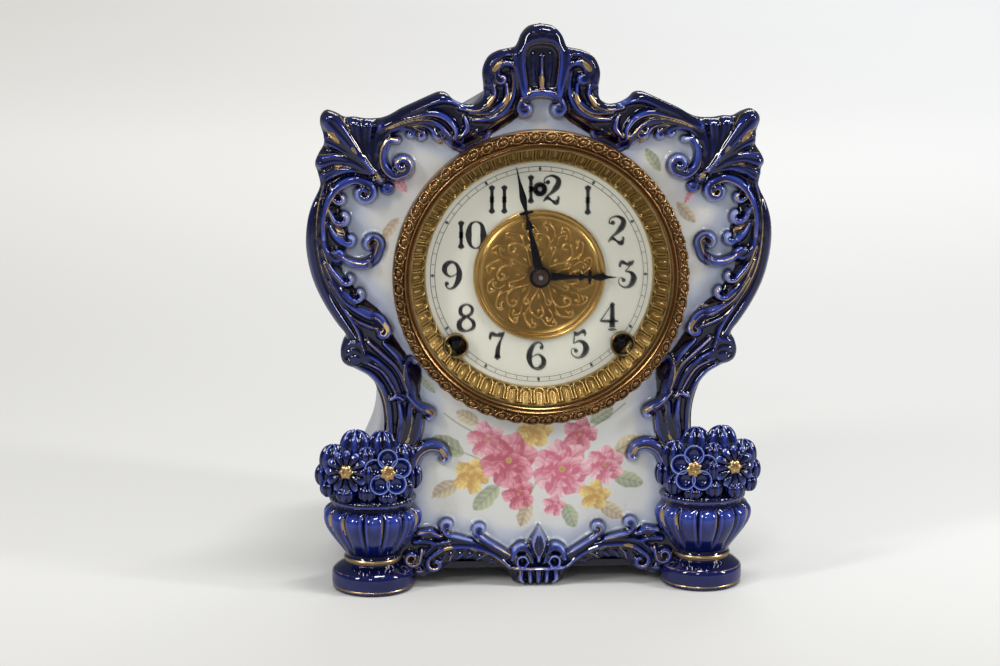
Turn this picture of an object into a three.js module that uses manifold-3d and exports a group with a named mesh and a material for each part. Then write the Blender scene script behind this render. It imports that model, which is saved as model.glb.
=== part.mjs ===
// Porcelain mantel clock, an eight-day striking clock in a glazed rococo case.
// Millimetres, +Z up, the dial faces -Y, the origin is under the middle of the case.
import * as THREE from 'three';
import { mergeVertices } from 'three/addons/utils/BufferGeometryUtils.js';
import Module from 'manifold-3d';

const wasm = await Module();
wasm.setup();

// Case, overall
const caseHeight = 285;
const caseWidth = 232.5;
const bodyDepth = 97;
const rearReach = 8.5;
const wallThickness = 6;
const panelThickness = 12;
const edgeRound = 2;
const floorHeight = 8;
const floorThickness = 6;
const clearance = 0.3;
const cutOverrun = 3;

// Urns and feet
const urnX = 84;
const urnHeight = 49.5;
const urnRadius = 25.6;
const urnBackReach = 14;
const flowerRise = 63;
const flowerRadius = 12.5;
const rearFootRadius = 13;
const rearFootX = 78;
const rearFootInset = 17;

// Relief
const railRadius = 3.6;
const leafRadius = 3;
const curlRadius = 3.8;
const reliefSink = 1;
const crestProud = 10;
const fanTipRadius = 4.6;
const fanRootRadius = 1.8;
const pendantProud = 15;

// Dial and its fittings
const dialZ = 160;
const sashTopRadius = 65.8;
const sashBreadth = 8.8;
const sashRise = 7.6;
const sashLipShare = 0.75;
const dialSightRadius = sashTopRadius - sashBreadth;
const panWallGap = 1.7;
const panWallRadius = sashTopRadius + panWallGap;
const frontHoleGap = 1;
const frontHoleRadius = panWallRadius + frontHoleGap;
const panWall = 0.7;
const panFlangeBreadth = 2.4;
const panFlangeRadius = panWallRadius + panFlangeBreadth;
const panFlangeThickness = 1;
const panSeatRadius = 50;
const panSeatDepth = 3.6;
const dialLap = 2.5;
const dialRadius = dialSightRadius + dialLap;
const dialThickness = 1.2;
const dialBore = 5.2;
const medallionRadius = 33.2;
const medallionThickness = 1;
const sheetThickness = 0.8;
const grommetBore = 4.7;
const grommetTubeRadius = 5.5;
const grommetFlangeRadius = 6.4;
const grommetProud = 3.2;
const regulatorZ = 43.3;
const regulatorBore = 2.2;
const regulatorGrommetRadius = 3.6;

// Opening glass door of the dial
const bezelOverhang = 4.3;
const bezelRadius = panFlangeRadius + bezelOverhang;
const bezelRise = 15;
const bezelLap = 0.6;
const bezelSightRadius = sashTopRadius - bezelLap;
const bezelSkirt = 1;
const bezelHollowOuter = bezelRadius - bezelSkirt;
const bezelHollowTop = 8.5;
const bezelRestGap = 0.9;
const bezelHingeInset = 3.2;
const bezelHingeX = bezelRadius - bezelHingeInset;
const bezelHingeProud = 5.6;
const bezelHingeRelief = 3.1;
const bezelReliefHalf = 22;
const hingeBarrelRadius = 1.9;
const hingePinRadius = 0.8;
const hingeLeafHalf = 3.2;
const hingeLugLength = 5;
const glassLap = 1.4;
const glassRadius = bezelSightRadius + glassLap;
const glassThickness = 1.8;
const glassProud = 9.9;
const bezelRabbetDepth = 1.7;
const glassDome = 1.6;
const domeShoulderShare = 0.6;
const retainerBreadth = 2;
const retainerInner = glassRadius - retainerBreadth;
const retainerThickness = 0.8;

// Rear ring and door
const rearTubeRadius = 65.9;
const rearHoleGap = 0.6;
const rearHoleRadius = rearTubeRadius + rearHoleGap;
const rearRingLap = 4.5;
const rearRingRadius = rearHoleRadius + rearRingLap;
const rearRingBreadth = 9.9;
const rearRingSight = rearTubeRadius - rearRingBreadth;
const rearRingThickness = 1.2;
const rearTubeLength = 4;
const rearDoorLap = 2.6;
const rearDoorRadius = rearRingSight + rearDoorLap;
const rearDoorThickness = 1;
const rearHingeGap = 3;
const rearHingeX = rearDoorRadius + rearHingeGap;
const rearHingeBarrel = 1.5;
const rearHingeHalf = 8;
const rearKnobRadius = 4.5;
const rearKnobInset = 9.6;
const rearKnobX = rearDoorRadius - rearKnobInset;
const tieRodRadius = 1.6;
const tieRodInset = 5;
const tieRodX = rearRingSight + tieRodInset;
const tieRodZ = 17;
const tieHeadRadius = 4;
const tieHeadThickness = 1.6;

// Movement frame, measured from the dial's centre and the porcelain face
const plateThickness = 1.6;
const frontPlateDepth = 14;
const plateSpacing = 36;
const pillarRadius = 3;
const pillarUpperX = 32;
const pillarUpperZ = 40;
const pillarLowerX = 13;
const pillarLowerZ = 46;
const pillarEndRadius = 1.6;
const plateSideHalf = 55;
const plateBottomZ = 57;
const bracketHalf = 6;
const bracketSheet = 1.2;
const bracketOuterX = 64;
const bracketWebX = 50.5;
const bracketInnerX = 43;
const arborRadius = 1.2;
const fineArborRadius = 0.9;
const pinionOverlap = 0.3;

// Winding side of both trains
const windingX = 42;
const windingZ = 35;
const windingArborRadius = 3;
const windingSquare = 3.6;
const windingSquareDepth = 1.5;
const springDepth = 29.2;
const springWidth = 14;
const springInner = 3.9;
const springOuter = 20;
const springStrip = 0.9;
const ratchetDepth = 44.3;
const ratchetWidth = 1.8;
const ratchetRadius = 8.6;
const clickStudX = 4.2;
const clickStudZ = 14;
const clickLength = 7.6;
const clickStudRadius = 1;
const greatDepth = 47.4;
const greatWidth = 2;

// Going train
const wheelWidth = 1.5;
const centreWheelDepth = 17.2;
const secondWheelDepth = 20.6;
const thirdWheelDepth = 24;
const escapeWheelDepth = 28;
const escapeZ = 24.5;
const thirdX = 17.9;
const thirdZ = 16.4;
const escapeRadius = 11.2;
const vergeZ = 39;
const palletGap = 1.3;
const anchorThickness = 2.2;
const crutchDepth = 56.5;
const crutchThickness = 1.5;
const crutchLength = 31;
const crutchSlot = 1.3;
const crutchProng = 0.9;
const cockHalf = 6;
const cockSheet = 1.2;
const cockBottomZ = 40.6;
const cockArmZ = 47.5;
const suspensionHalf = 0.15;
const suspensionBreadth = 3;
const suspensionLength = 4.9;
const pendulumDepth = 60;
const pendulumPivotZ = 45;
const pendulumLength = 99;
const pendulumRodRadius = 0.8;
const bobRadius = 13;
const bobThickness = 6;
const ratingNutHigh = 3;
const ratingNutRadius = 2.2;
const ferruleHigh = 3;
const ferruleHalf = 1.2;

// Motion work and hands
const minuteWheelDepth = 7.4;
const hourWheelDepth = 4.8;
const motionX = 11.9;
const motionZ = 11.9;
const cannonRadius = 1.9;
const cannonWidth = 1.9;
const hourPipeBore = 2.3;
const hourPipeRadius = 3.2;
const hourHandProud = 3;
const minuteHandProud = 5.2;
const handThickness = 0.7;
const hourHandLength = 38;
const minuteHandLength = 56.5;
const minuteBossRadius = 5.4;
const hourBossRadius = 5;
const handNutRadius = 4;
const centreTipProud = 7;
const liftCamRadius = 5;
const liftCamDepth = 10.2;

// Striking train
const pinWheelDepth = 23.4;
const liftPinRadius = 0.8;
const liftPinCircle = 16.6;
const liftPinLength = 3.4;
const strikeThirdX = 26;
const strikeThirdZ = 8.6;
const strikeThirdDepth = 30;
const flyX = 24;
const flyZ = 24.7;
const flyDepth = 33.6;
const flyLength = 12;
const flySpan = 8.5;
const flySheet = 0.7;
const countWheelZ = 34.6;
const countWheelDepth = 54.6;
const hammerX = 47;
const hammerZ = 2;
const hammerWireRadius = 1.1;
const hammerHeadRadius = 5;
const hammerHeadLength = 10;
const hammerDrop = 82;
const hammerFaceX = 30;
const hammerWireDepth = 57.6;
const hammerTail = 12.6;
const hammerTailDepth = 25.8;
const leverHalf = 1.2;
const leverLength = 33;
const liftLeverX = 5;
const liftLeverZ = 40;

// Gong
const gongDepth = 74;
const gongZ = 56;
const gongInner = 7;
const gongOuter = 31;
const gongWire = 1.2;
const gongArmRadius = 4.4;
const gongPostWidth = 9;
const gongPostCap = 6;
const gongPostGap = 2.3;
const gongBoltRadius = 2.5;
const gongBoltHead = 6.5;
const gongBoltDepth = 12;
const boltHeadHigh = 3;

// Tooth counts and turns
const greatTeeth = 40;
const secondTeeth = 40;
const secondLeaves = 8;
const centreTeeth = 75;
const thirdTeeth = 72;
const fineLeaves = 6;
const escapeTeeth = 38;
const ratchetTeeth = 12;
const cannonLeaves = 8;
const minuteTeeth = 24;
const hourTeeth = 32;
const strikeThirdTeeth = 48;
const countTeeth = 54;
const liftPins = 8;
const windowCount = 4;
const hoursPerRound = 12;
const blowsPerRound = 90;
const springTurns = 4.5;
const gongTurns = 3.5;

// Facets
const roundSides = 28;
const discSides = 20;
const fittingSides = 12;
const smallSides = 10;
const tinySides = 6;
const reliefSides = 4;
const fluteSides = 14;
const footSides = 16;
const ballSides = 6;
const ballRows = 4;
const boltSides = 6;
const wireSides = 5;
const wireSteps = 8;
const springStepsPerTurn = 8;
const gongStepsPerTurn = 10;

// Places that follow from the sizes
const faceY = -(bodyDepth + rearReach - urnRadius) / 2;
const backY = faceY + bodyDepth;
const halfWidth = caseWidth / 2;
const backPlateDepth = frontPlateDepth + plateThickness + plateSpacing;
const movementRear = backPlateDepth + plateThickness;
const floorTop = floorHeight + floorThickness;
const postFront = gongDepth + gongWire + gongPostGap;
const postMiddle = postFront + gongPostCap / 2;

// Outlines as shares of the half width and the height, from the middle of the top down the side
const crestLobeShares = [[0, 1], [0.05, 0.996], [0.082, 0.983], [0.1, 0.966], [0.112, 0.96]];
const sideLobeShares = [[0.145, 0.957], [0.185, 0.953], [0.225, 0.942], [0.247, 0.92], [0.243, 0.893],
  [0.244, 0.877]];
const dipShares = [[0.262, 0.866], [0.293, 0.861], [0.335, 0.863], [0.374, 0.871], [0.4, 0.881],
  [0.43, 0.883]];
const shoulderShares = [[0.465, 0.878], [0.525, 0.867], [0.59, 0.855], [0.637, 0.844], [0.68, 0.838],
  [0.74, 0.837]];
const fanTopShares = [[0.79, 0.84], [0.83, 0.84], [0.869, 0.848], [0.908, 0.852], [0.932, 0.842],
  [0.933, 0.828]];
const fanSideShares = [[0.92, 0.81], [0.92, 0.793], [0.942, 0.777], [0.957, 0.761], [0.946, 0.746],
  [0.936, 0.728]];
const sideShares = [[0.942, 0.714], [0.972, 0.688], [0.992, 0.66], [1, 0.625], [0.991, 0.589],
  [0.968, 0.554],
  [0.929, 0.519], [0.877, 0.484], [0.834, 0.461]];
const voluteShares = [[0.847, 0.446], [0.857, 0.428], [0.846, 0.412], [0.813, 0.403]];
const waistShares = [[0.783, 0.396], [0.74, 0.386], [0.701, 0.368], [0.677, 0.347], [0.665, 0.323],
  [0.662, 0.29]];
const lowerShares = [[0.7, 0.2], [0.722, 0.12], [0.7, 0.05]];
const archShares = [[0.53, 0.02], [0.44, 0.018], [0.39, 0.036], [0.33, 0.043], [0.27, 0.043],
  [0.2, 0.036], [0.14, 0.028]];
const pendantShares = [[0.118, 0.016], [0.1, 0.003], [0, 0.003]];

const bodyFrontShares = [[0, 0.915], [0.2, 0.9], [0.27, 0.85], [0.42, 0.85], [0.62, 0.825], [0.8, 0.8],
  [0.9, 0.77],
  [0.915, 0.71], [0.955, 0.64], [0.93, 0.54], [0.83, 0.455], [0.72, 0.38], [0.67, 0.31], [0.7, 0.2],
  [0.77, 0.12], [0.8, 0.028]];
const bodyMiddleShares = [[0, 0.88], [0.2, 0.87], [0.34, 0.84], [0.48, 0.81], [0.63, 0.77], [0.77, 0.73],
  [0.85, 0.68],
  [0.9, 0.62], [0.905, 0.56], [0.86, 0.48], [0.77, 0.41], [0.7, 0.34], [0.7, 0.27], [0.77, 0.2],
  [0.82, 0.12], [0.84, 0.028]];
const bodyBackShares = [[0, 0.835], [0.2, 0.826], [0.34, 0.806], [0.48, 0.775], [0.61, 0.73],
  [0.71, 0.68], [0.78, 0.62],
  [0.81, 0.57], [0.81, 0.52], [0.77, 0.45], [0.72, 0.38], [0.69, 0.31], [0.7, 0.25], [0.76, 0.19],
  [0.81, 0.11], [0.82, 0.028]];
const hollowFrontShares = [[0, 0.825], [0.2, 0.812], [0.36, 0.79], [0.52, 0.75], [0.66, 0.7],
  [0.76, 0.64], [0.81, 0.57],
  [0.8, 0.52], [0.74, 0.45], [0.67, 0.38], [0.62, 0.31], [0.62, 0.25], [0.68, 0.19], [0.73, 0.1],
  [0.74, 0.04]];
const hollowBackShares = [[0, 0.808], [0.18, 0.8], [0.32, 0.782], [0.46, 0.745], [0.57, 0.7],
  [0.67, 0.645], [0.72, 0.57],
  [0.735, 0.52], [0.7, 0.45], [0.66, 0.38], [0.63, 0.31], [0.64, 0.25], [0.69, 0.19], [0.73, 0.1],
  [0.74, 0.04]];

// Urn profile as shares of its bowl radius and height
const urnShares = [[0, 0], [0.78, 0], [0.8, 0.13], [0.76, 0.15], [0.8, 0.19], [0.74, 0.25], [0.57, 0.3],
  [0.54, 0.36], [0.86, 0.54], [1, 0.67], [0.98, 0.82], [0.82, 0.92], [0.84, 1], [0, 1]];
const fluteShare = 0.94;
const fluteLowShare = 0.4;
const fluteHighShare = 0.9;

// Relief strokes as shares of the half width and the height
const railShares = [[0.93, 0.71], [0.962, 0.665], [0.966, 0.615], [0.94, 0.56], [0.885, 0.51], [0.82, 0.465],
  [0.75, 0.42], [0.7, 0.37], [0.655, 0.33], [0.63, 0.28], [0.61, 0.24]];
const upperCurlShares = [[0.74, 0.71], [0.74, 0.735], [0.79, 0.742], [0.85, 0.73], [0.89, 0.7],
  [0.905, 0.655],
  [0.885, 0.615], [0.83, 0.595]];
const innerCurlShares = [[0.61, 0.755], [0.6, 0.74], [0.64, 0.725], [0.69, 0.745], [0.7, 0.78],
  [0.68, 0.815],
  [0.62, 0.835], [0.54, 0.85], [0.45, 0.86]];
const crestCurlShares = [[0.29, 0.81], [0.37, 0.805], [0.44, 0.83], [0.5, 0.855]];
const crestBandShares = [[0.28, 0.805], [0.22, 0.825], [0.18, 0.85], [0.2, 0.88]];
const crestArchShares = [[0.085, 0.86], [0.075, 0.874], [0, 0.886]];
const waistLeafShares = [[0.68, 0.445], [0.7, 0.475], [0.76, 0.5], [0.84, 0.53], [0.9, 0.58]];
const strapShares = [[0.59, 0.4], [0.575, 0.41], [0.545, 0.4], [0.56, 0.36], [0.58, 0.31], [0.6, 0.26],
  [0.61, 0.2]];
const lowerCurlShares = [[0.415, 0.235], [0.43, 0.25], [0.49, 0.26], [0.55, 0.24], [0.575, 0.2]];
const apronShares = [[0.5, 0.028], [0.49, 0.05], [0.43, 0.068], [0.35, 0.075], [0.25, 0.068], [0.15, 0.05]];
const apronScrollShares = [[0.39, 0.105], [0.37, 0.095], [0.28, 0.085], [0.2, 0.07], [0.12, 0.05]];
const fanTipShares = [[0.762, 0.836], [0.835, 0.838], [0.915, 0.842], [0.915, 0.79], [0.945, 0.757],
  [0.925, 0.73]];
const fanRootShares = [0.69, 0.735];

// Case furniture as shares of the half width and the height, with a size share of the curl radius
const curlShares = [[0.61, 0.75, 1.1], [0.76, 0.715, 1.2], [0.69, 0.45, 1.1], [0.82, 0.425, 1.6],
  [0.42, 0.24, 1],
  [0.39, 0.102, 1]];

const porcelain = new THREE.MeshStandardMaterial({ color: 0x1b2a78, roughness: 0.12, metalness: 0 });
const brass = new THREE.MeshStandardMaterial({ color: 0xb08a3c, roughness: 0.32, metalness: 1 });
const gilt = new THREE.MeshStandardMaterial({ color: 0x9c6a38, roughness: 0.4, metalness: 1 });
const steel = new THREE.MeshStandardMaterial({ color: 0x8a8c90, roughness: 0.35, metalness: 1 });
const blueSteel = new THREE.MeshStandardMaterial({ color: 0x15171c, roughness: 0.35, metalness: 0.8 });
const enamel = new THREE.MeshStandardMaterial({ color: 0xe9e6da, roughness: 0.25, metalness: 0 });
const clearGlass = new THREE.MeshStandardMaterial({ color: 0xffffff, roughness: 0.02, transparent: true,
  opacity: 0.2 });
const castIron = new THREE.MeshStandardMaterial({ color: 0x3a3a3c, roughness: 0.6, metalness: 0.7 });

const clock = new THREE.Group();

// A closed geometry as a solid, with its shared corners merged and its faces pointing out
function solid(geometry) {
  const bare = geometry.clone();
  bare.deleteAttribute('normal');
  bare.deleteAttribute('uv');
  const merged = mergeVertices(bare);
  const corners = merged.attributes.position.array;
  const index = merged.index.array;
  const faces = [];
  let volume = 0;
  const a = new THREE.Vector3();
  const b = new THREE.Vector3();
  const c = new THREE.Vector3();
  for (let i = 0; i < index.length; i += 3) {
    const [p, q, r] = [index[i], index[i + 1], index[i + 2]];
    if (p === q || q === r || r === p) continue;
    faces.push(p, q, r);
    a.fromArray(corners, 3 * p);
    b.fromArray(corners, 3 * q);
    c.fromArray(corners, 3 * r);
    volume += a.dot(b.cross(c));
  }
  if (volume < 0) faces.reverse();
  return new wasm.Manifold(new wasm.Mesh({
    numProp: 3, vertProperties: new Float32Array(corners), triVerts: new Uint32Array(faces),
  }));
}

function joined(solids) {
  return solids.reduce((whole, next) => whole.add(next));
}

function cutBy(body, cutters) {
  return cutters.reduce((rest, cutter) => rest.subtract(cutter), body);
}

// A solid as a named mesh of the clock
function addPiece(name, body, material) {
  const mesh = body.getMesh();
  const corners = new Float32Array(mesh.numVert * 3);
  for (let i = 0; i < mesh.numVert; i += 1) {
    for (let k = 0; k < 3; k += 1) corners[3 * i + k] = mesh.vertProperties[mesh.numProp * i + k];
  }
  const geometry = new THREE.BufferGeometry();
  geometry.setAttribute('position', new THREE.BufferAttribute(corners, 3));
  geometry.setIndex(new THREE.BufferAttribute(new Uint32Array(mesh.triVerts), 1));
  geometry.computeVertexNormals();
  const piece = new THREE.Mesh(geometry, material);
  piece.name = name;
  clock.add(piece);
}

// Basic forms. Depths run back from the porcelain face, dial places from the dial's centre
function box(x0, x1, y0, y1, z0, z1) {
  const geometry = new THREE.BoxGeometry(x1 - x0, y1 - y0, z1 - z0);
  geometry.translate((x0 + x1) / 2, (y0 + y1) / 2, (z0 + z1) / 2);
  return solid(geometry);
}

function rodY(radius, depth0, depth1, x, z, sides = smallSides) {
  const geometry = new THREE.CylinderGeometry(radius, radius, depth1 - depth0, sides);
  geometry.translate(x, faceY + (depth0 + depth1) / 2, dialZ + z);
  return solid(geometry);
}

function rodZ(radius, z0, z1, x, y, sides = smallSides) {
  const geometry = new THREE.CylinderGeometry(radius, radius, z1 - z0, sides);
  geometry.rotateX(Math.PI / 2);
  geometry.translate(x, y, (z0 + z1) / 2);
  return solid(geometry);
}

function turned(profile, sides = roundSides, x = 0, z = 0) {
  const points = profile.map(([radius, depth]) => new THREE.Vector2(radius, depth));
  const geometry = new THREE.LatheGeometry(points, sides);
  geometry.translate(x, faceY, dialZ + z);
  return solid(geometry);
}

function ring(inner, outer, depth0, depth1, sides = roundSides, x = 0, z = 0) {
  return turned([[inner, depth0], [outer, depth0], [outer, depth1], [inner, depth1],
    [inner, depth0]], sides, x, z);
}

// A flat outline in X and Z, given as points, made into a plate between two depths
function plate(points, depth0, depth1, x = 0, z = 0, holes = []) {
  const shape = new THREE.Shape(points.map(([px, pz]) => new THREE.Vector2(px, pz)));
  holes.forEach(([hx, hz, radius]) => {
    const hole = new THREE.Path();
    for (let k = 0; k < tinySides; k += 1) {
      const angle = (2 * Math.PI * k) / tinySides;
      const corner = [hx + radius * Math.cos(angle), hz + radius * Math.sin(angle)];
      if (k === 0) hole.moveTo(...corner);
      else hole.lineTo(...corner);
    }
    hole.closePath();
    shape.holes.push(hole);
  });
  const geometry = new THREE.ExtrudeGeometry(shape, { depth: depth1 - depth0, bevelEnabled: false });
  geometry.rotateX(Math.PI / 2);
  geometry.translate(x, faceY + depth1, dialZ + z);
  return solid(geometry);
}

// A round wire or rail along a smooth line through points
function wire(points, radius, sides, steps, closedCurve = false) {
  const section = new THREE.Shape();
  for (let k = 0; k < sides; k += 1) {
    const angle = (2 * Math.PI * k) / sides;
    const corner = [radius * Math.cos(angle), radius * Math.sin(angle)];
    if (k === 0) section.moveTo(...corner);
    else section.lineTo(...corner);
  }
  section.closePath();
  const line = new THREE.CatmullRomCurve3(points.map((p) => new THREE.Vector3(...p)), closedCurve);
  return solid(new THREE.ExtrudeGeometry(section, { steps, extrudePath: line, curveSegments: sides }));
}

function ball(radiusX, radiusY, radiusZ, x, y, z, wide = ballSides, high = ballRows) {
  const geometry = new THREE.SphereGeometry(1, wide, high);
  geometry.rotateX(Math.PI / 2);
  geometry.scale(radiusX, radiusY, radiusZ);
  geometry.translate(x, y, z);
  return solid(geometry);
}

const mirrored = (body) => body.mirror([1, 0, 0]);
const sized = (shares) => shares.map(([x, z]) => [x * halfWidth, z * caseHeight]);

// A bore that clears a round pin of the given radius, whatever its facets
const bore = (radius, sides = smallSides) => (radius + clearance) / Math.cos(Math.PI / sides);
const boreY = (radius, depth0, depth1, x, z) => rodY(bore(radius), depth0, depth1, x, z);

// Porcelain case
function closedOutline(runs) {
  const half = runs.flatMap(sized);
  const other = half.filter(([x]) => x > 0).map(([x, z]) => [-x, z]).reverse();
  return [...half, ...other];
}

function loft(sections) {
  const count = sections[0].outline.length;
  const corners = [];
  const faces = [];
  sections.forEach(({ outline, y }) => outline.forEach(([x, z]) => corners.push(x, y, z)));
  for (let s = 0; s + 1 < sections.length; s += 1) {
    for (let i = 0; i < count; i += 1) {
      const j = (i + 1) % count;
      const [a, b, c, d] = [s * count + i, s * count + j, (s + 1) * count + i, (s + 1) * count + j];
      faces.push(a, b, c, b, d, c);
    }
  }
  const last = (sections.length - 1) * count;
  [0, sections.length - 1].forEach((s) => {
    const flat = sections[s].outline.map(([x, z]) => new THREE.Vector2(x, z));
    THREE.ShapeUtils.triangulateShape(flat, []).forEach(([p, q, r]) => {
      if (s === 0) faces.push(p, q, r);
      else faces.push(last + r, last + q, last + p);
    });
  });
  const geometry = new THREE.BufferGeometry();
  geometry.setAttribute('position', new THREE.BufferAttribute(new Float32Array(corners), 3));
  geometry.setIndex(faces);
  return solid(geometry);
}

function shiftedOutline(shares, inset) {
  const outline = closedOutline([shares]);
  return outline.map(([x, z]) => {
    const reach = Math.hypot(x, z - dialZ);
    const keep = (reach - inset) / reach;
    return [x * keep, Math.max(dialZ + (z - dialZ) * keep, floorHeight)];
  });
}

function caseBody() {
  const outer = loft([
    { outline: shiftedOutline(bodyFrontShares, 0), y: faceY + edgeRound },
    { outline: shiftedOutline(bodyMiddleShares, 0), y: faceY + bodyDepth / 2 },
    { outline: shiftedOutline(bodyBackShares, 0), y: backY - 2 * edgeRound },
    { outline: shiftedOutline(bodyBackShares, 2 * edgeRound), y: backY },
  ]);
  const hollow = (shares) => closedOutline([shares]).map(([x, z]) => [x, Math.max(z, floorTop)]);
  const inner = loft([
    { outline: hollow(hollowFrontShares), y: faceY + panelThickness - 2 * edgeRound },
    { outline: hollow(hollowBackShares), y: backY - wallThickness },
  ]);
  return { outer, inner };
}

function framePlate() {
  const runs = [crestLobeShares, sideLobeShares, dipShares, shoulderShares, fanTopShares, fanSideShares,
    sideShares,
    voluteShares, waistShares, lowerShares, archShares, pendantShares];
  const outline = closedOutline(runs);
  const shape = new THREE.Shape(outline.map(([x, z]) => new THREE.Vector2(x, z)));
  const geometry = new THREE.ExtrudeGeometry(shape, { depth: panelThickness - edgeRound,
    bevelEnabled: false });
  geometry.rotateX(Math.PI / 2);
  geometry.translate(0, faceY + panelThickness - edgeRound, 0);
  return solid(geometry);
}

function stroke(shares, radius) {
  const points = sized(shares).map(([x, z]) => [x, faceY - reliefSink, z]);
  return wire(points, radius, reliefSides, points.length);
}

function urn() {
  const points = urnShares.map(([r, h]) => new THREE.Vector2(r * urnRadius, h * urnHeight));
  const geometry = new THREE.LatheGeometry(points, fluteSides);
  const place = geometry.attributes.position;
  for (let i = 0; i < place.count; i += 1) {
    const high = place.getY(i) / urnHeight;
    const step = Math.floor(i / points.length);
    if (high > fluteLowShare && high < fluteHighShare && step % 2 === 1) {
      place.setX(i, place.getX(i) * fluteShare);
      place.setZ(i, place.getZ(i) * fluteShare);
    }
  }
  geometry.rotateX(Math.PI / 2);
  geometry.translate(urnX, faceY, 0);
  const reach = urnRadius + cutOverrun;
  const keep = box(urnX - reach, urnX + reach, faceY - reach, faceY + urnBackReach, -cutOverrun,
    urnHeight + cutOverrun);
  return solid(geometry).intersect(keep);
}

// Places of the blooms as shares of the flower radius, from the middle of the spray, with a size share
const bloomFlatShare = 0.75;
const sprayBreadthShare = 0.5;
const sprayShiftShare = 0.25;
const bloomShares = [[1.4, -0.75, 0.1, 1], [-0.25, -1.05, -0.1, 1.05], [0.2, -0.15, 0.9, 0.95],
  [1.3, -0.1, 0.95, 0.8],
  [0.5, 0.15, -0.3, 1.25]];

function spray() {
  const blooms = bloomShares.map(([x, y, z, size]) => {
    const radius = flowerRadius * size;
    const across = (x * sprayBreadthShare + sprayShiftShare) * flowerRadius;
    const place = [urnX + across, faceY + y * flowerRadius, flowerRise + z * flowerRadius];
    return ball(radius, radius * bloomFlatShare, radius, ...place);
  });
  return joined(blooms);
}

function fanLeaf([x, z]) {
  const [rootX, rootZ] = [fanRootShares[0] * halfWidth, fanRootShares[1] * caseHeight];
  const [tipX, tipZ] = [x * halfWidth, z * caseHeight];
  const length = Math.hypot(tipX - rootX, tipZ - rootZ);
  const geometry = new THREE.CylinderGeometry(fanTipRadius, fanRootRadius, length, reliefSides);
  geometry.translate(0, length / 2, 0);
  geometry.rotateX(Math.PI / 2);
  geometry.rotateY(Math.PI / 2 - Math.atan2(tipZ - rootZ, tipX - rootX));
  geometry.translate(rootX, faceY - reliefSink, rootZ);
  return solid(geometry);
}

function halfRelief() {
  const strokes = [
    stroke(railShares, railRadius),
    stroke(upperCurlShares, leafRadius),
    stroke(innerCurlShares, leafRadius),
    stroke(crestCurlShares, leafRadius),
    stroke(crestBandShares, railRadius),
    stroke(waistLeafShares, leafRadius),
    stroke(strapShares, leafRadius),
    stroke(lowerCurlShares, leafRadius),
    stroke(apronShares, leafRadius),
    stroke(apronScrollShares, leafRadius),
  ];
  const curls = curlShares.map(([x, z, size]) => ball(
    size * curlRadius, size * curlRadius, size * curlRadius, x * halfWidth, faceY - reliefSink,
      z * caseHeight,
  ));
  const rearFoot = rodZ(rearFootRadius, 0, floorHeight + floorThickness / 2, rearFootX,
    backY - rearFootInset, footSides);
  return joined([...strokes, ...curls, ...fanTipShares.map(fanLeaf), urn(), spray(), rearFoot]);
}

// Middle ornaments: half width, proud share and half height as shares, at a height share
const middleShares = [[0.1, 1, 0.062, 0, 0.937], [0.045, 0.7, 0.04, 0, 0.085],
  [0.045, 1, 0.022, 0.06, 0.025],
  [0.04, 1.1, 0.023, 0, 0.026]];
const crestFromShare = 0.5;
const crestSideShares = [[0.07, 0.8, 0.035, 0.178, 0.918]];

function middleRelief() {
  const lumps = [];
  [...middleShares, ...crestSideShares].forEach(([wide, proud, high, x, z]) => {
    const reach = z > crestFromShare ? crestProud : pendantProud;
    const lump = ball(wide * halfWidth, proud * reach, high * caseHeight, x * halfWidth, faceY,
      z * caseHeight);
    lumps.push(lump);
    if (x > 0) lumps.push(mirrored(lump));
  });
  const arch = stroke(crestArchShares, leafRadius);
  return joined([...lumps, arch, mirrored(arch)]);
}

function porcelainCase() {
  const { outer, inner } = caseBody();
  const half = halfRelief();
  const whole = joined([framePlate(), outer, half, mirrored(half), middleRelief()]);
  const frontHole = rodY(frontHoleRadius, -bezelRise, panelThickness + cutOverrun, 0, 0, roundSides);
  const rearHole = rodY(rearHoleRadius, bodyDepth - wallThickness - cutOverrun, bodyDepth + cutOverrun, 0,
    0, roundSides);
  const bezelSeat = rodY(bezelRadius + edgeRound, -bezelRise, 0, 0, 0, roundSides);
  const boltHole = rodZ(bore(gongBoltRadius), 0, floorTop + cutOverrun, 0, faceY + postMiddle);
  const under = box(-halfWidth, halfWidth, faceY - urnRadius - cutOverrun, backY + cutOverrun, -urnHeight,
    0);
  return cutBy(whole, [inner, frontHole, rearHole, bezelSeat, boltHole, under]);
}

// Dial pan, sash ring, dial and fittings
const panInner = panWallRadius - panWall;
const panBack = panSeatDepth + panFlangeThickness;
const windingPlaces = [[windingX, -windingZ], [-windingX, -windingZ]];
const tiePlaces = [[tieRodX, tieRodZ], [-tieRodX, tieRodZ]];

function dialPan() {
  const front = -clearance - panFlangeThickness;
  const pan = turned([[panInner, front], [panFlangeRadius, front], [panFlangeRadius, -clearance],
    [panWallRadius, -clearance], [panWallRadius, panBack], [panSeatRadius, panBack],
    [panSeatRadius, panSeatDepth],
    [panInner, panSeatDepth], [panInner, front]]);
  const cutters = [
    ...windingPlaces.map(([x, z]) => boreY(grommetTubeRadius, 0, panBack + cutOverrun, x, z)),
    ...tiePlaces.map(([x, z]) => boreY(tieRodRadius, 0, panBack + cutOverrun, x, z)),
  ];
  return cutBy(pan, cutters);
}

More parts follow.
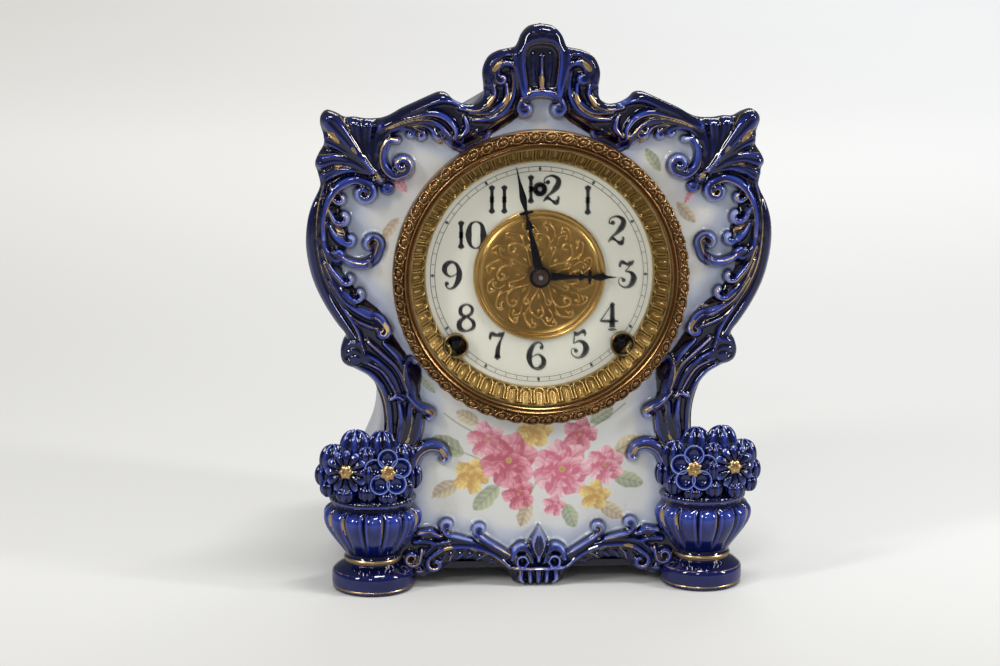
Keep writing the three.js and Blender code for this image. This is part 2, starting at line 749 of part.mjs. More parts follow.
function sashRing() {
  const low = panSeatDepth - dialThickness - 2 * clearance - sheetThickness;
  const outer = sashTopRadius + sashLipShare * sheetThickness;
  const sash = turned([[dialSightRadius, low], [sashTopRadius, -sashRise], [outer, -sashRise],
    [outer, panSeatDepth - clearance], [sashTopRadius, panSeatDepth - clearance],
    [sashTopRadius, sheetThickness - sashRise],
    [dialSightRadius, low + sheetThickness], [dialSightRadius, low]]);
  const bites = windingPlaces.map(([x, z]) => boreY(grommetFlangeRadius, -bezelRise, panBack, x, z));
  const leafGap = hingeLeafHalf + hingeLugLength + 2 * clearance;
  const notch = box(bezelHingeX - bezelRise / 2 - clearance, bezelHingeX, faceY - bezelRise, faceY + panBack,
    dialZ - leafGap, dialZ + leafGap);
  return cutBy(sash, [...bites, notch]);
}

const dialFront = panSeatDepth - clearance - dialThickness;

function enamelDial() {
  const disc = ring(dialBore, dialRadius, dialFront, dialFront + dialThickness);
  const bites = windingPlaces.map(([x, z]) => boreY(grommetTubeRadius, -cutOverrun, panBack, x, z));
  return cutBy(disc, [...bites, boreY(regulatorBore, -cutOverrun, panBack, 0, regulatorZ)]);
}

function windingGrommet([x, z]) {
  const flangeBack = sheetThickness - grommetProud;
  return turned([[grommetBore, -grommetProud], [grommetFlangeRadius, -grommetProud],
    [grommetFlangeRadius, flangeBack],
    [grommetTubeRadius, flangeBack], [grommetTubeRadius, dialFront + dialThickness],
    [grommetBore, dialFront + dialThickness], [grommetBore, -grommetProud]], fittingSides, x, z);
}

addPiece('porcelain_case', porcelainCase(), porcelain);
addPiece('dial_pan', dialPan(), brass);
addPiece('sash_ring', sashRing(), brass);
addPiece('enamel_dial', enamelDial(), enamel);
addPiece('dial_medallion', ring(dialBore, medallionRadius, dialFront - clearance - medallionThickness,
  dialFront - clearance, discSides), brass);
addPiece('winding_grommet_right', windingGrommet(windingPlaces[0]), brass);
addPiece('winding_grommet_left', windingGrommet(windingPlaces[1]), brass);
addPiece('regulator_grommet', ring(regulatorBore, regulatorGrommetRadius,
  dialFront - clearance - sheetThickness,
  dialFront - clearance, fittingSides, 0, regulatorZ), steel);

// Opening glass door
const lugStart = hingeLeafHalf + clearance;
const lugEnd = lugStart + hingeLugLength;
const hingeY = faceY - bezelHingeProud;

function barrel(z0, z1) {
  return rodZ(hingeBarrelRadius, dialZ + z0, dialZ + z1, bezelHingeX, hingeY, fittingSides);
}

function barrelBore() {
  return rodZ(bore(hingePinRadius, fittingSides), dialZ - lugEnd - cutOverrun, dialZ + lugEnd + cutOverrun,
    bezelHingeX, hingeY, fittingSides);
}

function hingeLeaf() {
  const leafBack = -clearance - panFlangeThickness - clearance;
  const leafFront = leafBack - bracketSheet;
  const inner = bezelHingeX - bezelRise / 2;
  const wide = box(inner, bezelHingeX - hingeBarrelRadius - 2 * clearance, faceY + leafFront,
    faceY + leafBack,
    dialZ - lugEnd, dialZ + lugEnd);
  const neck = box(bezelHingeX - hingeBarrelRadius - sheetThickness, bezelHingeX + hingeBarrelRadius / 2,
    hingeY,
    faceY + leafBack, dialZ - hingeLeafHalf, dialZ + hingeLeafHalf);
  return cutBy(joined([wide, neck, barrel(-hingeLeafHalf, hingeLeafHalf)]), [barrelBore()]);
}

// Crown of the bezel: inset and rise as shares of its rise
const bezelCrownShares = [[0, 0.6], [0.1, 0.88], [0.28, 1], [0.48, 0.98]];

function bezelRing() {
  const rabbet = glassRadius + clearance;
  const rabbetFront = -glassProud - glassThickness - clearance;
  const body = turned([[bezelSightRadius, rabbetFront], [rabbet, rabbetFront],
    [rabbet, bezelRabbetDepth - glassProud],
    [bezelHollowOuter, -bezelHollowTop], [bezelHollowOuter, -bezelRestGap], [bezelRadius, -bezelRestGap],
    ...bezelCrownShares.map(([inset, rise]) => [bezelRadius - inset * bezelRise, -rise * bezelRise]),
    [bezelSightRadius, rabbetFront - sheetThickness], [bezelSightRadius, rabbetFront]]);
  const reach = bezelRadius + cutOverrun;
  const hingeNotch = box(bezelHingeX - cutOverrun, reach, faceY - bezelHollowTop, faceY,
    dialZ - lugStart, dialZ + lugStart);
  const relief = box(bezelSightRadius, reach, faceY - bezelHingeRelief, faceY, dialZ - bezelReliefHalf,
    dialZ + bezelReliefHalf);
  const webs = [1, -1].map((side) => {
    const [z0, z1] = side > 0 ? [lugStart, lugEnd] : [-lugEnd, -lugStart];
    const web = box(bezelHingeX - hingeBarrelRadius + clearance, bezelHingeX + hingeBarrelRadius - clearance,
      faceY - bezelHollowTop - sheetThickness, hingeY, dialZ + z0, dialZ + z1);
    return web.add(barrel(z0, z1));
  });
  return cutBy(joined([cutBy(body, [hingeNotch, relief]), ...webs]), [barrelBore()]);
}

function dialGlass() {
  const front = -glassProud - glassThickness;
  return turned([[0, front - glassDome], [domeShoulderShare * glassRadius,
    front - domeShoulderShare * glassDome], [glassRadius, front],
    [glassRadius, -glassProud], [domeShoulderShare * glassRadius,
    -glassProud - domeShoulderShare * glassDome],
    [0, -glassProud - glassDome]]);
}

addPiece('bezel_hinge_leaf', hingeLeaf(), brass);
addPiece('bezel_hinge_pin', rodZ(hingePinRadius, dialZ - lugEnd, dialZ + lugEnd, bezelHingeX, hingeY),
  steel);
addPiece('bezel_ring', bezelRing(), gilt);
addPiece('dial_glass', dialGlass(), clearGlass);
addPiece('glass_retainer', ring(retainerInner, glassRadius, clearance - glassProud,
  clearance + retainerThickness - glassProud), brass);

// Rear ring, its door and the tie rods
const ringFront = bodyDepth + clearance;
const ringBack = ringFront + rearRingThickness;
const rearHingeDepth = ringBack + clearance + rearHingeBarrel;
const rearLeafHalf = rearHingeHalf / 3;

function rearBarrel(z0, z1) {
  return rodZ(rearHingeBarrel, dialZ + z0, dialZ + z1, rearHingeX, faceY + rearHingeDepth, fittingSides);
}

function rearBore() {
  return rodZ(bore(hingePinRadius / 2, fittingSides), dialZ - rearHingeHalf - cutOverrun,
    dialZ + rearHingeHalf + cutOverrun,
    rearHingeX, faceY + rearHingeDepth, fittingSides);
}

function backRing() {
  const tubeInner = rearTubeRadius - sheetThickness;
  const body = turned([[rearRingSight, ringFront], [tubeInner, ringFront],
    [tubeInner, bodyDepth - rearTubeLength],
    [rearTubeRadius, bodyDepth - rearTubeLength], [rearTubeRadius, ringFront], [rearRingRadius, ringFront],
    [rearRingRadius, ringBack], [rearRingSight, ringBack], [rearRingSight, ringFront]]);
  const leaf = box(rearHingeX - rearHingeBarrel / 2, rearHingeX + rearHingeBarrel / 2,
    faceY + ringFront + sheetThickness,
    faceY + rearHingeDepth, dialZ - rearLeafHalf, dialZ + rearLeafHalf);
  const holes = tiePlaces.map(([x, z]) => boreY(tieRodRadius, bodyDepth - rearTubeLength,
    ringBack + cutOverrun, x, z));
  return cutBy(joined([body, leaf, rearBarrel(-rearLeafHalf, rearLeafHalf)]), [...holes, rearBore()]);
}

function backDoor() {
  const front = ringBack + clearance;
  const disc = turned([[0, front], [rearDoorRadius, front], [rearDoorRadius, front + rearDoorThickness],
    [0, front + rearDoorThickness]]);
  const inner = rearLeafHalf + clearance;
  const lugs = [[inner, rearHingeHalf], [-rearHingeHalf, -inner]].map(([z0, z1]) => {
    const web = box(rearDoorRadius - cutOverrun, rearHingeX, faceY + front,
      faceY + front + rearDoorThickness,
      dialZ + z0, dialZ + z1);
    return web.add(rearBarrel(z0, z1));
  });
  const gap = box(rearHingeX - rearHingeBarrel - clearance, rearHingeX + rearHingeBarrel, faceY + ringFront,
    faceY + rearHingeDepth + cutOverrun, dialZ - inner, dialZ + inner);
  return cutBy(joined([disc, ...lugs]), [rearBore(), gap]);
}

function backDoorKnob() {
  const seat = ringBack + 2 * clearance + rearDoorThickness;
  const tip = bodyDepth + rearReach;
  return turned([[0, seat], [rearKnobRadius / 2, seat], [rearKnobRadius / 2, (seat + tip) / 2],
    [rearKnobRadius, (seat + 2 * tip) / 3], [rearKnobRadius / 2, tip],
    [0, tip]], fittingSides, -rearKnobX, 0);
}

function tieRod([x, z]) {
  const seat = ringBack + clearance;
  return rodY(tieRodRadius, panSeatDepth - 2 * clearance, seat, x, z)
    .add(rodY(tieHeadRadius, seat, seat + tieHeadThickness, x, z, fittingSides));
}

addPiece('back_ring', backRing(), brass);
addPiece('back_hinge_pin', rodZ(hingePinRadius / 2, dialZ - rearHingeHalf, dialZ + rearHingeHalf, rearHingeX,
  faceY + rearHingeDepth), steel);
addPiece('back_door', backDoor(), brass);
addPiece('back_door_knob', backDoorKnob(), brass);
addPiece('tie_rod_right', tieRod(tiePlaces[0]), steel);
addPiece('tie_rod_left', tieRod(tiePlaces[1]), steel);

// Wheel places seen from the front, from the dial's centre
const secondShare = 0.4735;
const places = {
  centre: [0, 0],
  second: [secondShare * windingX, -secondShare * windingZ],
  third: [thirdX, thirdZ],
  escape: [0, escapeZ],
  verge: [0, vergeZ],
  regulator: [0, regulatorZ],
  motion: [motionX, -motionZ],
  pinWheel: [-secondShare * windingX, -secondShare * windingZ],
  strikeThird: [-strikeThirdX, strikeThirdZ],
  fly: [-flyX, flyZ],
  count: [-secondShare * windingX, -countWheelZ],
  hammer: [-hammerX, -hammerZ],
  lever: [-liftLeverX, -liftLeverZ],
};
const pillarPlaces = {
  upper_right: [pillarUpperX, pillarUpperZ],
  upper_left: [-pillarUpperX, pillarUpperZ],
  lower_right: [pillarLowerX, -pillarLowerZ],
  lower_left: [-pillarLowerX, -pillarLowerZ],
};
const spacing = (a, b) => Math.hypot(a[0] - b[0], a[1] - b[1]);
const moduleOf = (a, b, teeth, leaves) => (2 * spacing(a, b)) / (teeth + leaves);

// Tooth forms as shares of the module and of the tooth pitch
const toothTipShare = 0.7;
const toothRootShare = 1.3;
const leafTipShare = 0.45;
const leafRootShare = 1.05;
const leafTipHalfShare = 0.1;
const leafFootHalfShare = 0.17;

function polar(radius, angle) {
  return [radius * Math.cos(angle), radius * Math.sin(angle)];
}

function wheelOutline(teeth, module) {
  const pitchRadius = (teeth * module) / 2;
  const points = [];
  for (let k = 0; k < teeth; k += 1) {
    const angle = (2 * Math.PI * k) / teeth;
    points.push(polar(pitchRadius + toothTipShare * module, angle));
    points.push(polar(pitchRadius - toothRootShare * module, angle + Math.PI / teeth));
  }
  return points;
}

function pinionOutline(leaves, module, phase) {
  const pitchRadius = (leaves * module) / 2;
  const pitch = (2 * Math.PI) / leaves;
  const points = [];
  for (let k = 0; k < leaves; k += 1) {
    const angle = phase + k * pitch;
    points.push(polar(pitchRadius - leafRootShare * module, angle - leafFootHalfShare * pitch));
    points.push(polar(pitchRadius + leafTipShare * module, angle - leafTipHalfShare * pitch));
    points.push(polar(pitchRadius + leafTipShare * module, angle + leafTipHalfShare * pitch));
    points.push(polar(pitchRadius - leafRootShare * module, angle + leafFootHalfShare * pitch));
  }
  return points;
}

// Turn of a pinion that puts a gap of it where the wheel's nearest tooth stands
function meshTurn(wheelPlace, teeth, pinionPlace, leaves) {
  const along = Math.atan2(pinionPlace[1] - wheelPlace[1], pinionPlace[0] - wheelPlace[0]);
  const pitch = (2 * Math.PI) / teeth;
  const cycles = -along / pitch;
  const turn = (cycles - Math.round(cycles)) * pitch;
  return along + Math.PI - (turn * teeth) / leaves + Math.PI / leaves;
}

function toothed(teeth, module, depth0, width, place, holes = []) {
  return plate(wheelOutline(teeth, module), depth0, depth0 + width, ...place, holes);
}

// A pinion in mesh with a wheel that stands at another place
function pinionWith(wheelPlace, teeth, place, leaves, depth0, width) {
  const module = moduleOf(wheelPlace, place, teeth, leaves);
  const outline = pinionOutline(leaves, module, meshTurn(wheelPlace, teeth, place, leaves));
  return plate(outline, depth0 - pinionOverlap, depth0 + width + pinionOverlap, ...place);
}

// Crossed-out windows of a wheel, as holes between its spokes
const windowTurnShare = 0.5;

function windows(count, circle, radius) {
  return Array.from({ length: count }, (_, k) => [...polar(circle,
    (2 * Math.PI * (k + windowTurnShare)) / count), radius]);
}

const arbor = (place, radius, depth0, depth1) => rodY(radius, depth0, depth1, ...place, tinySides);
const plateInner = frontPlateDepth + plateThickness;
const frontPivot = frontPlateDepth + clearance;
const rearPivot = movementRear - clearance;

// Movement plates, pillars and brackets
const plateShares = [[0, 0.86], [0.55, 0.86], [0.8, 0.53], [1, 0.14], [1, -0.53], [0.87, -0.84],
  [0.47, -1], [0, -1]];

function movementPlate(depth, holes) {
  const half = plateShares.map(([x, z]) => [x * plateSideHalf, z * plateBottomZ]);
  const outline = [...half, ...half.filter(([x]) => x > 0).map(([x, z]) => [-x, z]).reverse()];
  const cuts = holes.map(([[x, z], radius]) => [x, z, bore(radius, tinySides)]);
  return plate(outline, depth, depth + plateThickness, 0, 0, cuts);
}

const commonHoles = [
  ...windingPlaces.map((place) => [place, windingArborRadius]),
  [places.centre, arborRadius], [places.second, arborRadius], [places.third, fineArborRadius],
  [places.escape, fineArborRadius], [places.verge, fineArborRadius], [places.regulator, arborRadius],
  [places.pinWheel, fineArborRadius], [places.strikeThird, arborRadius], [places.fly, fineArborRadius],
  [places.hammer, arborRadius], [places.lever, arborRadius],
  ...Object.values(pillarPlaces).map((place) => [place, pillarEndRadius]),
];

function bracket(side) {
  const footFront = panBack + clearance;
  const footBack = footFront + bracketSheet;
  const rear = frontPlateDepth - clearance;
  const [z0, z1] = [dialZ - bracketHalf, dialZ + bracketHalf];
  const body = joined([
    box(bracketWebX, bracketOuterX, faceY + footFront, faceY + footBack, z0, z1),
    box(bracketWebX, bracketWebX + bracketSheet, faceY + footFront, faceY + rear, z0, z1),
    box(bracketInnerX, bracketWebX + bracketSheet, faceY + rear - bracketSheet, faceY + rear, z0, z1),
  ]);
  return side > 0 ? body : mirrored(body);
}

addPiece('front_plate', movementPlate(frontPlateDepth, [...commonHoles, [places.motion, fineArborRadius]]),
  brass);
addPiece('back_plate', movementPlate(backPlateDepth, [...commonHoles, [places.count, fineArborRadius]]),
  brass);
Object.entries(pillarPlaces).forEach(([name, place]) => {
  const body = arbor(place, pillarRadius, plateInner + clearance, backPlateDepth - clearance);
  const ends = arbor(place, pillarEndRadius, frontPlateDepth - sheetThickness,
    movementRear + sheetThickness);
  addPiece(`pillar_${name}`, body.add(ends), brass);
});
addPiece('movement_bracket_right', bracket(1), steel);
addPiece('movement_bracket_left', bracket(-1), steel);

// Mainsprings, winding arbors, clicks and great wheels of both trains
function mainspring([x, z], side) {
  const steps = Math.round(springTurns * springStepsPerTurn);
  const edge = (offset) => Array.from({ length: steps + 1 }, (_, k) => {
    const radius = springInner + ((springOuter - springInner) * k) / steps + offset;
    return polar(radius, (side * 2 * Math.PI * k) / springStepsPerTurn);
  });
  const outline = [...edge(-springStrip / 2), ...edge(springStrip / 2).reverse()];
  return plate(outline, springDepth, springDepth + springWidth, x, z);
}

const ratchetRootShare = 0.85;
const ratchetLeanShare = 0.15;

function windingArbor(place) {
  const half = windingSquare / 2;
  const [x, z] = place;
  const ratchet = [];
  for (let k = 0; k < ratchetTeeth; k += 1) {
    const angle = (2 * Math.PI * k) / ratchetTeeth;
    ratchet.push(polar(ratchetRadius, angle));
    ratchet.push(polar(ratchetRootShare * ratchetRadius,
      angle + (ratchetLeanShare * 2 * Math.PI) / ratchetTeeth));
  }
  return joined([
    box(x - half, x + half, faceY + windingSquareDepth, faceY + frontPlateDepth - clearance,
      dialZ + z - half, dialZ + z + half),
    arbor(place, windingArborRadius, frontPlateDepth - 2 * clearance, rearPivot),
    plate(ratchet, ratchetDepth, ratchetDepth + ratchetWidth, x, z),
  ]);
}

// Click outline as shares of its length, from its stud
const clickShares = [[0.24, 0.2], [-0.2, 0.3], [-0.95, -0.55], [-1, -0.71], [-0.66, -0.6], [0.21, -0.24]];
const studPlace = ([x, z]) => [x + clickStudX, z + clickStudZ];

function click(place) {
  const outline = clickShares.map(([x, z]) => [x * clickLength, z * clickLength]);
  return plate(outline, ratchetDepth, ratchetDepth + ratchetWidth, ...studPlace(place))
    .subtract(boreY(clickStudRadius, ratchetDepth - cutOverrun, ratchetDepth + cutOverrun,
      ...studPlace(place)));
}

function greatWheel(place, pinionPlace) {
  const module = moduleOf(place, pinionPlace, greatTeeth, secondLeaves);
  const wheel = toothed(greatTeeth, module, greatDepth, greatWidth, place);
  const stud = arbor(studPlace(place), clickStudRadius, ratchetDepth, greatDepth + greatWidth / 2);
  return wheel.add(stud).subtract(boreY(windingArborRadius, greatDepth - cutOverrun,
    greatDepth + cutOverrun + greatWidth, ...place));
}

const [timeBarrel, strikeBarrel] = windingPlaces;
addPiece('time_mainspring', mainspring(timeBarrel, 1), steel);
addPiece('strike_mainspring', mainspring(strikeBarrel, -1), steel);
addPiece('time_winding_arbor', windingArbor(timeBarrel), steel);
addPiece('strike_winding_arbor', windingArbor(strikeBarrel), steel);
addPiece('time_click', click(timeBarrel), steel);
addPiece('strike_click', click(strikeBarrel), steel);
addPiece('time_great_wheel', greatWheel(timeBarrel, places.second), brass);
addPiece('strike_great_wheel', greatWheel(strikeBarrel, places.pinWheel), brass);

// Going train
const windowCircleShare = 0.58;
const windowRadiusShare = 0.24;
const hubShare = 2;

function spokes(teeth, module, share = 1) {
  const radius = (share * teeth * module) / 2;
  return windows(windowCount, windowCircleShare * radius, windowRadiusShare * radius);
}

function secondWheel() {
  const module = moduleOf(places.second, places.centre, secondTeeth, secondLeaves);
  return joined([
    toothed(secondTeeth, module, secondWheelDepth, wheelWidth, places.second),
    pinionWith(timeBarrel, greatTeeth, places.second, secondLeaves, greatDepth, greatWidth),
    arbor(places.second, arborRadius, frontPivot, rearPivot),
  ]);
}

function centreWheel() {
  const module = moduleOf(places.centre, places.third, centreTeeth, fineLeaves);
  const body = joined([
    toothed(centreTeeth, module, centreWheelDepth, wheelWidth, places.centre, spokes(centreTeeth, module)),
    pinionWith(places.second, secondTeeth, places.centre, secondLeaves, secondWheelDepth, wheelWidth),
    arbor(places.centre, hubShare * arborRadius, centreWheelDepth, secondWheelDepth),
  ]);
  return body.subtract(boreY(arborRadius, centreWheelDepth - cutOverrun, secondWheelDepth + cutOverrun,
    ...places.centre));
}

function thirdWheel() {
  const module = moduleOf(places.third, places.escape, thirdTeeth, fineLeaves);
  return joined([
    toothed(thirdTeeth, module, thirdWheelDepth, wheelWidth, places.third, spokes(thirdTeeth, module)),
    pinionWith(places.centre, centreTeeth, places.third, fineLeaves, centreWheelDepth, wheelWidth),
    arbor(places.third, fineArborRadius, frontPivot, rearPivot),
  ]);
}

// Escape teeth lean, with their tips ahead of their feet
const escapeFootShare = 0.82;
const escapeLeanShare = 0.3;

function escapeWheel() {
  const outline = [];
  for (let k = 0; k < escapeTeeth; k += 1) {
    outline.push(polar(escapeRadius, (2 * Math.PI * k) / escapeTeeth));
    outline.push(polar(escapeFootShare * escapeRadius, (2 * Math.PI * (k + escapeLeanShare)) / escapeTeeth));
  }
  return joined([
    plate(outline, escapeWheelDepth, escapeWheelDepth + wheelWidth, ...places.escape),
    pinionWith(places.third, thirdTeeth, places.escape, fineLeaves, thirdWheelDepth, wheelWidth),
    arbor(places.escape, fineArborRadius, frontPivot, rearPivot),
  ]);
}

// Half turns of the anchor's arc about the escape wheel
const anchorTurns = [-0.7, -0.35, 0, 0.35, 0.7];

function verge() {
  const arc = (radius) => anchorTurns.map((turn) => [radius * Math.sin(turn), radius * Math.cos(turn)]);
  const inner = escapeRadius + palletGap;
  const outline = [...arc(inner), ...arc(inner + anchorThickness).reverse()];
  const back = crutchDepth + crutchThickness;
  const reach = crutchSlot + crutchProng;
  const low = dialZ + vergeZ - crutchLength;
  const forkHalf = crutchSlot;
  const prong = (side) => box(Math.min(side * crutchSlot, side * reach), Math.max(side * crutchSlot,
    side * reach),
    faceY + crutchDepth, faceY + pendulumDepth + crutchSlot, low - forkHalf, low + forkHalf);
  return joined([
    plate(outline, escapeWheelDepth, escapeWheelDepth + wheelWidth, ...places.escape),
    arbor(places.verge, hubShare * fineArborRadius, escapeWheelDepth, escapeWheelDepth + wheelWidth),
    arbor(places.verge, fineArborRadius, frontPivot, back),
    box(-crutchProng, crutchProng, faceY + crutchDepth, faceY + back, low + forkHalf, dialZ + vergeZ),
    box(-reach, reach, faceY + crutchDepth, faceY + back, low - forkHalf, low + forkHalf),
    prong(1), prong(-1),
  ]);
}

addPiece('time_second_wheel', secondWheel(), brass);
addPiece('centre_wheel', centreWheel(), brass);
addPiece('third_wheel', thirdWheel(), brass);
addPiece('escape_wheel', escapeWheel(), brass);
addPiece('verge', verge(), steel);

// Pendulum on its cock and spring, and the regulator
const cockFront = movementRear + clearance;
const springFront = pendulumDepth - suspensionBreadth / 2;
const springBack = pendulumDepth + suspensionBreadth / 2;
const springTop = dialZ + cockArmZ - clearance;
const springFoot = springTop - suspensionLength;
const bobShares = [[0, -0.5], [0.6, -0.35], [1, -0.05], [1, 0.05], [0.6, 0.35], [0, 0.5]];

function suspensionCock() {
  const top = dialZ + cockArmZ + cockSheet;
  const foot = box(-cockHalf, cockHalf, faceY + cockFront, faceY + cockFront + cockSheet,
    dialZ + cockBottomZ, top);
  const arm = box(-cockHalf / 2, cockHalf / 2, faceY + cockFront, faceY + springBack + cockSheet,
    dialZ + cockArmZ, top);
  return foot.add(arm).subtract(boreY(arborRadius, movementRear, cockFront + cockSheet + cutOverrun,
    ...places.regulator));
}

function pendulumRod() {
  const top = springFoot - clearance;
  const y = faceY + pendulumDepth;
  const low = dialZ + pendulumPivotZ - pendulumLength - bobRadius - clearance;
  return joined([
    rodZ(pendulumRodRadius, low, top, 0, y, tinySides),
    box(-ferruleHalf, ferruleHalf, faceY + springFront, faceY + springBack, top - ferruleHigh, top),
    rodZ(ratingNutRadius, low - ratingNutHigh, low, 0, y),
  ]);
}

function pendulumBob() {
  const z = pendulumPivotZ - pendulumLength;
  const profile = bobShares.map(([r, d]) => [r * bobRadius, pendulumDepth + d * bobThickness]);
  const reach = bobRadius + cutOverrun;
  const hole = rodZ(bore(pendulumRodRadius), dialZ + z - reach, dialZ + z + reach, 0, faceY + pendulumDepth);
  return turned(profile, discSides, 0, z).subtract(hole);
}

addPiece('suspension_cock', suspensionCock(), brass);
addPiece('suspension_spring', box(-suspensionHalf, suspensionHalf, faceY + springFront, faceY + springBack,
  springFoot, springTop), steel);
addPiece('pendulum_rod', pendulumRod(), steel);
addPiece('pendulum_bob', pendulumBob(), brass);
addPiece('regulator_arbor', arbor(places.regulator, arborRadius, dialFront - clearance, crutchDepth)
  .add(arbor(places.regulator, ratingNutRadius, cockFront + cockSheet + clearance, crutchDepth)), steel);

// Motion work and hands
const camShares = [[1, 0], [0.7, 0.2], [0.6, 0.48], [1, 0.5], [0.7, 0.7], [0.6, 0.98]];
const minuteHandAngle = -0.22;
const hourHandAngle = 1.59;

// Hand outline: place along the hand and half width, as shares of the minute hand's length
const minuteShares = [[0.06, 0.045], [0.14, 0.045], [0.3, 0.028], [0.43, 0.013], [0.465, 0.037],
  [0.54, 0.012],
  [0.575, 0.063], [0.6, 0.063], [0.61, 0.01], [0.7, 0.032], [0.86, 0.012], [1, 0]];
const hourShares = [[0.07, 0.045], [0.14, 0.045], [0.22, 0.025], [0.34, 0.013], [0.365, 0.037], [0.4, 0.014],
  [0.43, 0.06], [0.455, 0.06], [0.465, 0.014], [0.53, 0.034], [0.6, 0.016]];

function centreArbor() {
  const camDepth = liftCamDepth + crutchThickness;
  const cam = camShares.map(([r, turn]) => polar(r * liftCamRadius, 2 * Math.PI * turn));
  return joined([
    arbor(places.centre, arborRadius, -centreTipProud, rearPivot),
    arbor(places.centre, cannonRadius, handThickness + clearance - minuteHandProud, camDepth),
    pinionWith(places.motion, minuteTeeth, places.centre, cannonLeaves, minuteWheelDepth, cannonWidth),
    plate(cam, liftCamDepth, camDepth),
  ]);
}

function minuteWheel() {
  const module = moduleOf(places.motion, places.centre, minuteTeeth, cannonLeaves);
  return joined([
    toothed(minuteTeeth, module, minuteWheelDepth, wheelWidth, places.motion),
    pinionWith(places.centre, hourTeeth, places.motion, cannonLeaves, hourWheelDepth, wheelWidth),
    arbor(places.motion, fineArborRadius, hourWheelDepth - pinionOverlap, plateInner),
  ]);
}

function hourWheel() {
  const module = moduleOf(places.centre, places.motion, hourTeeth, cannonLeaves);
  const front = -hourHandProud - clearance;
  return joined([
    toothed(hourTeeth, module, hourWheelDepth, wheelWidth, places.centre),
    rodY(hourPipeRadius, front, hourWheelDepth, 0, 0, fittingSides),
  ]).subtract(rodY(hourPipeBore, front - cutOverrun, hourWheelDepth + cutOverrun, 0, 0, fittingSides));
}

function hand(shares, length, turn, proud, boss, hole) {
  const side = shares.map(([r, half]) => [half * length, r * length]);
  const tip = side[side.length - 1];
  const other = side.filter(([x]) => x > 0).map(([x, z]) => [-x, z]).reverse();
  const turnedRound = [...side, ...(tip[0] > 0 ? [[0, hourHandLength]] : []), ...other]
    .map(([x, z]) => [x * Math.cos(turn) + z * Math.sin(turn), z * Math.cos(turn) - x * Math.sin(turn)]);
  return plate(turnedRound, -proud, handThickness - proud)
    .add(rodY(boss, -proud, handThickness - proud, 0, 0, discSides))
    .subtract(rodY(bore(hole, fittingSides), -proud - cutOverrun, cutOverrun - proud, 0, 0, fittingSides));
}

const nutCrownShare = 0.6;

function handNut() {
  const seat = -minuteHandProud - clearance;
  const hole = bore(arborRadius, fittingSides);
  return turned([[hole, seat], [handNutRadius, seat], [handNutRadius, seat - handThickness / 2],
    [nutCrownShare * handNutRadius, seat - handThickness], [hole, seat - handThickness],
    [hole, seat]], fittingSides);
}

addPiece('centre_arbor', centreArbor(), steel);
addPiece('minute_wheel', minuteWheel(), brass);
addPiece('hour_wheel', hourWheel(), brass);
addPiece('hour_hand', hand(hourShares, minuteHandLength, hourHandAngle, hourHandProud, hourBossRadius,
  hourPipeRadius), blueSteel);
addPiece('minute_hand', hand(minuteShares, minuteHandLength, minuteHandAngle, minuteHandProud,
  minuteBossRadius,
  arborRadius), blueSteel);
addPiece('hand_nut', handNut(), steel);

// Striking train
const pinWindowShare = 0.78;

function pinWheel() {
  const module = moduleOf(places.pinWheel, places.strikeThird, secondTeeth, secondLeaves);
  const [x, z] = places.pinWheel;
  const pins = Array.from({ length: liftPins }, (_, k) => {
    const [px, pz] = polar(liftPinCircle, (2 * Math.PI * k) / liftPins);
    return arbor([x + px, z + pz], liftPinRadius, pinWheelDepth, pinWheelDepth + wheelWidth + liftPinLength);
  });
  return joined([
    toothed(secondTeeth, module, pinWheelDepth, wheelWidth, places.pinWheel, spokes(secondTeeth, module,
      pinWindowShare)),
    pinionWith(strikeBarrel, greatTeeth, places.pinWheel, secondLeaves, greatDepth, greatWidth),
    pinionWith(places.count, countTeeth, places.pinWheel, fineLeaves, countWheelDepth, wheelWidth),
    arbor(places.pinWheel, fineArborRadius, frontPivot, countWheelDepth + wheelWidth),
    ...pins,
  ]);
}

function strikeThirdWheel() {
  const module = moduleOf(places.strikeThird, places.fly, strikeThirdTeeth, fineLeaves);
  return joined([
    toothed(strikeThirdTeeth, module, strikeThirdDepth, wheelWidth, places.strikeThird,
      spokes(strikeThirdTeeth, module)),
    pinionWith(places.pinWheel, secondTeeth, places.strikeThird, secondLeaves, pinWheelDepth, wheelWidth),
    arbor(places.strikeThird, arborRadius, frontPivot, rearPivot),
  ]);
}

function fly() {
  const [x, z] = places.fly;
  const blade = box(x - flySpan, x + flySpan, faceY + flyDepth, faceY + flyDepth + flyLength,
    dialZ + z - flySheet / 2, dialZ + z + flySheet / 2);
  return joined([
    blade,
    pinionWith(places.strikeThird, strikeThirdTeeth, places.fly, fineLeaves, strikeThirdDepth, wheelWidth),
    arbor(places.fly, fineArborRadius, frontPivot, rearPivot),
  ]);
}

// Count disc: its slots stand one blow further apart with every hour
const countDiscShare = 0.78;
const countSlotShare = 0.6;
const countSlotAngle = 0.035;

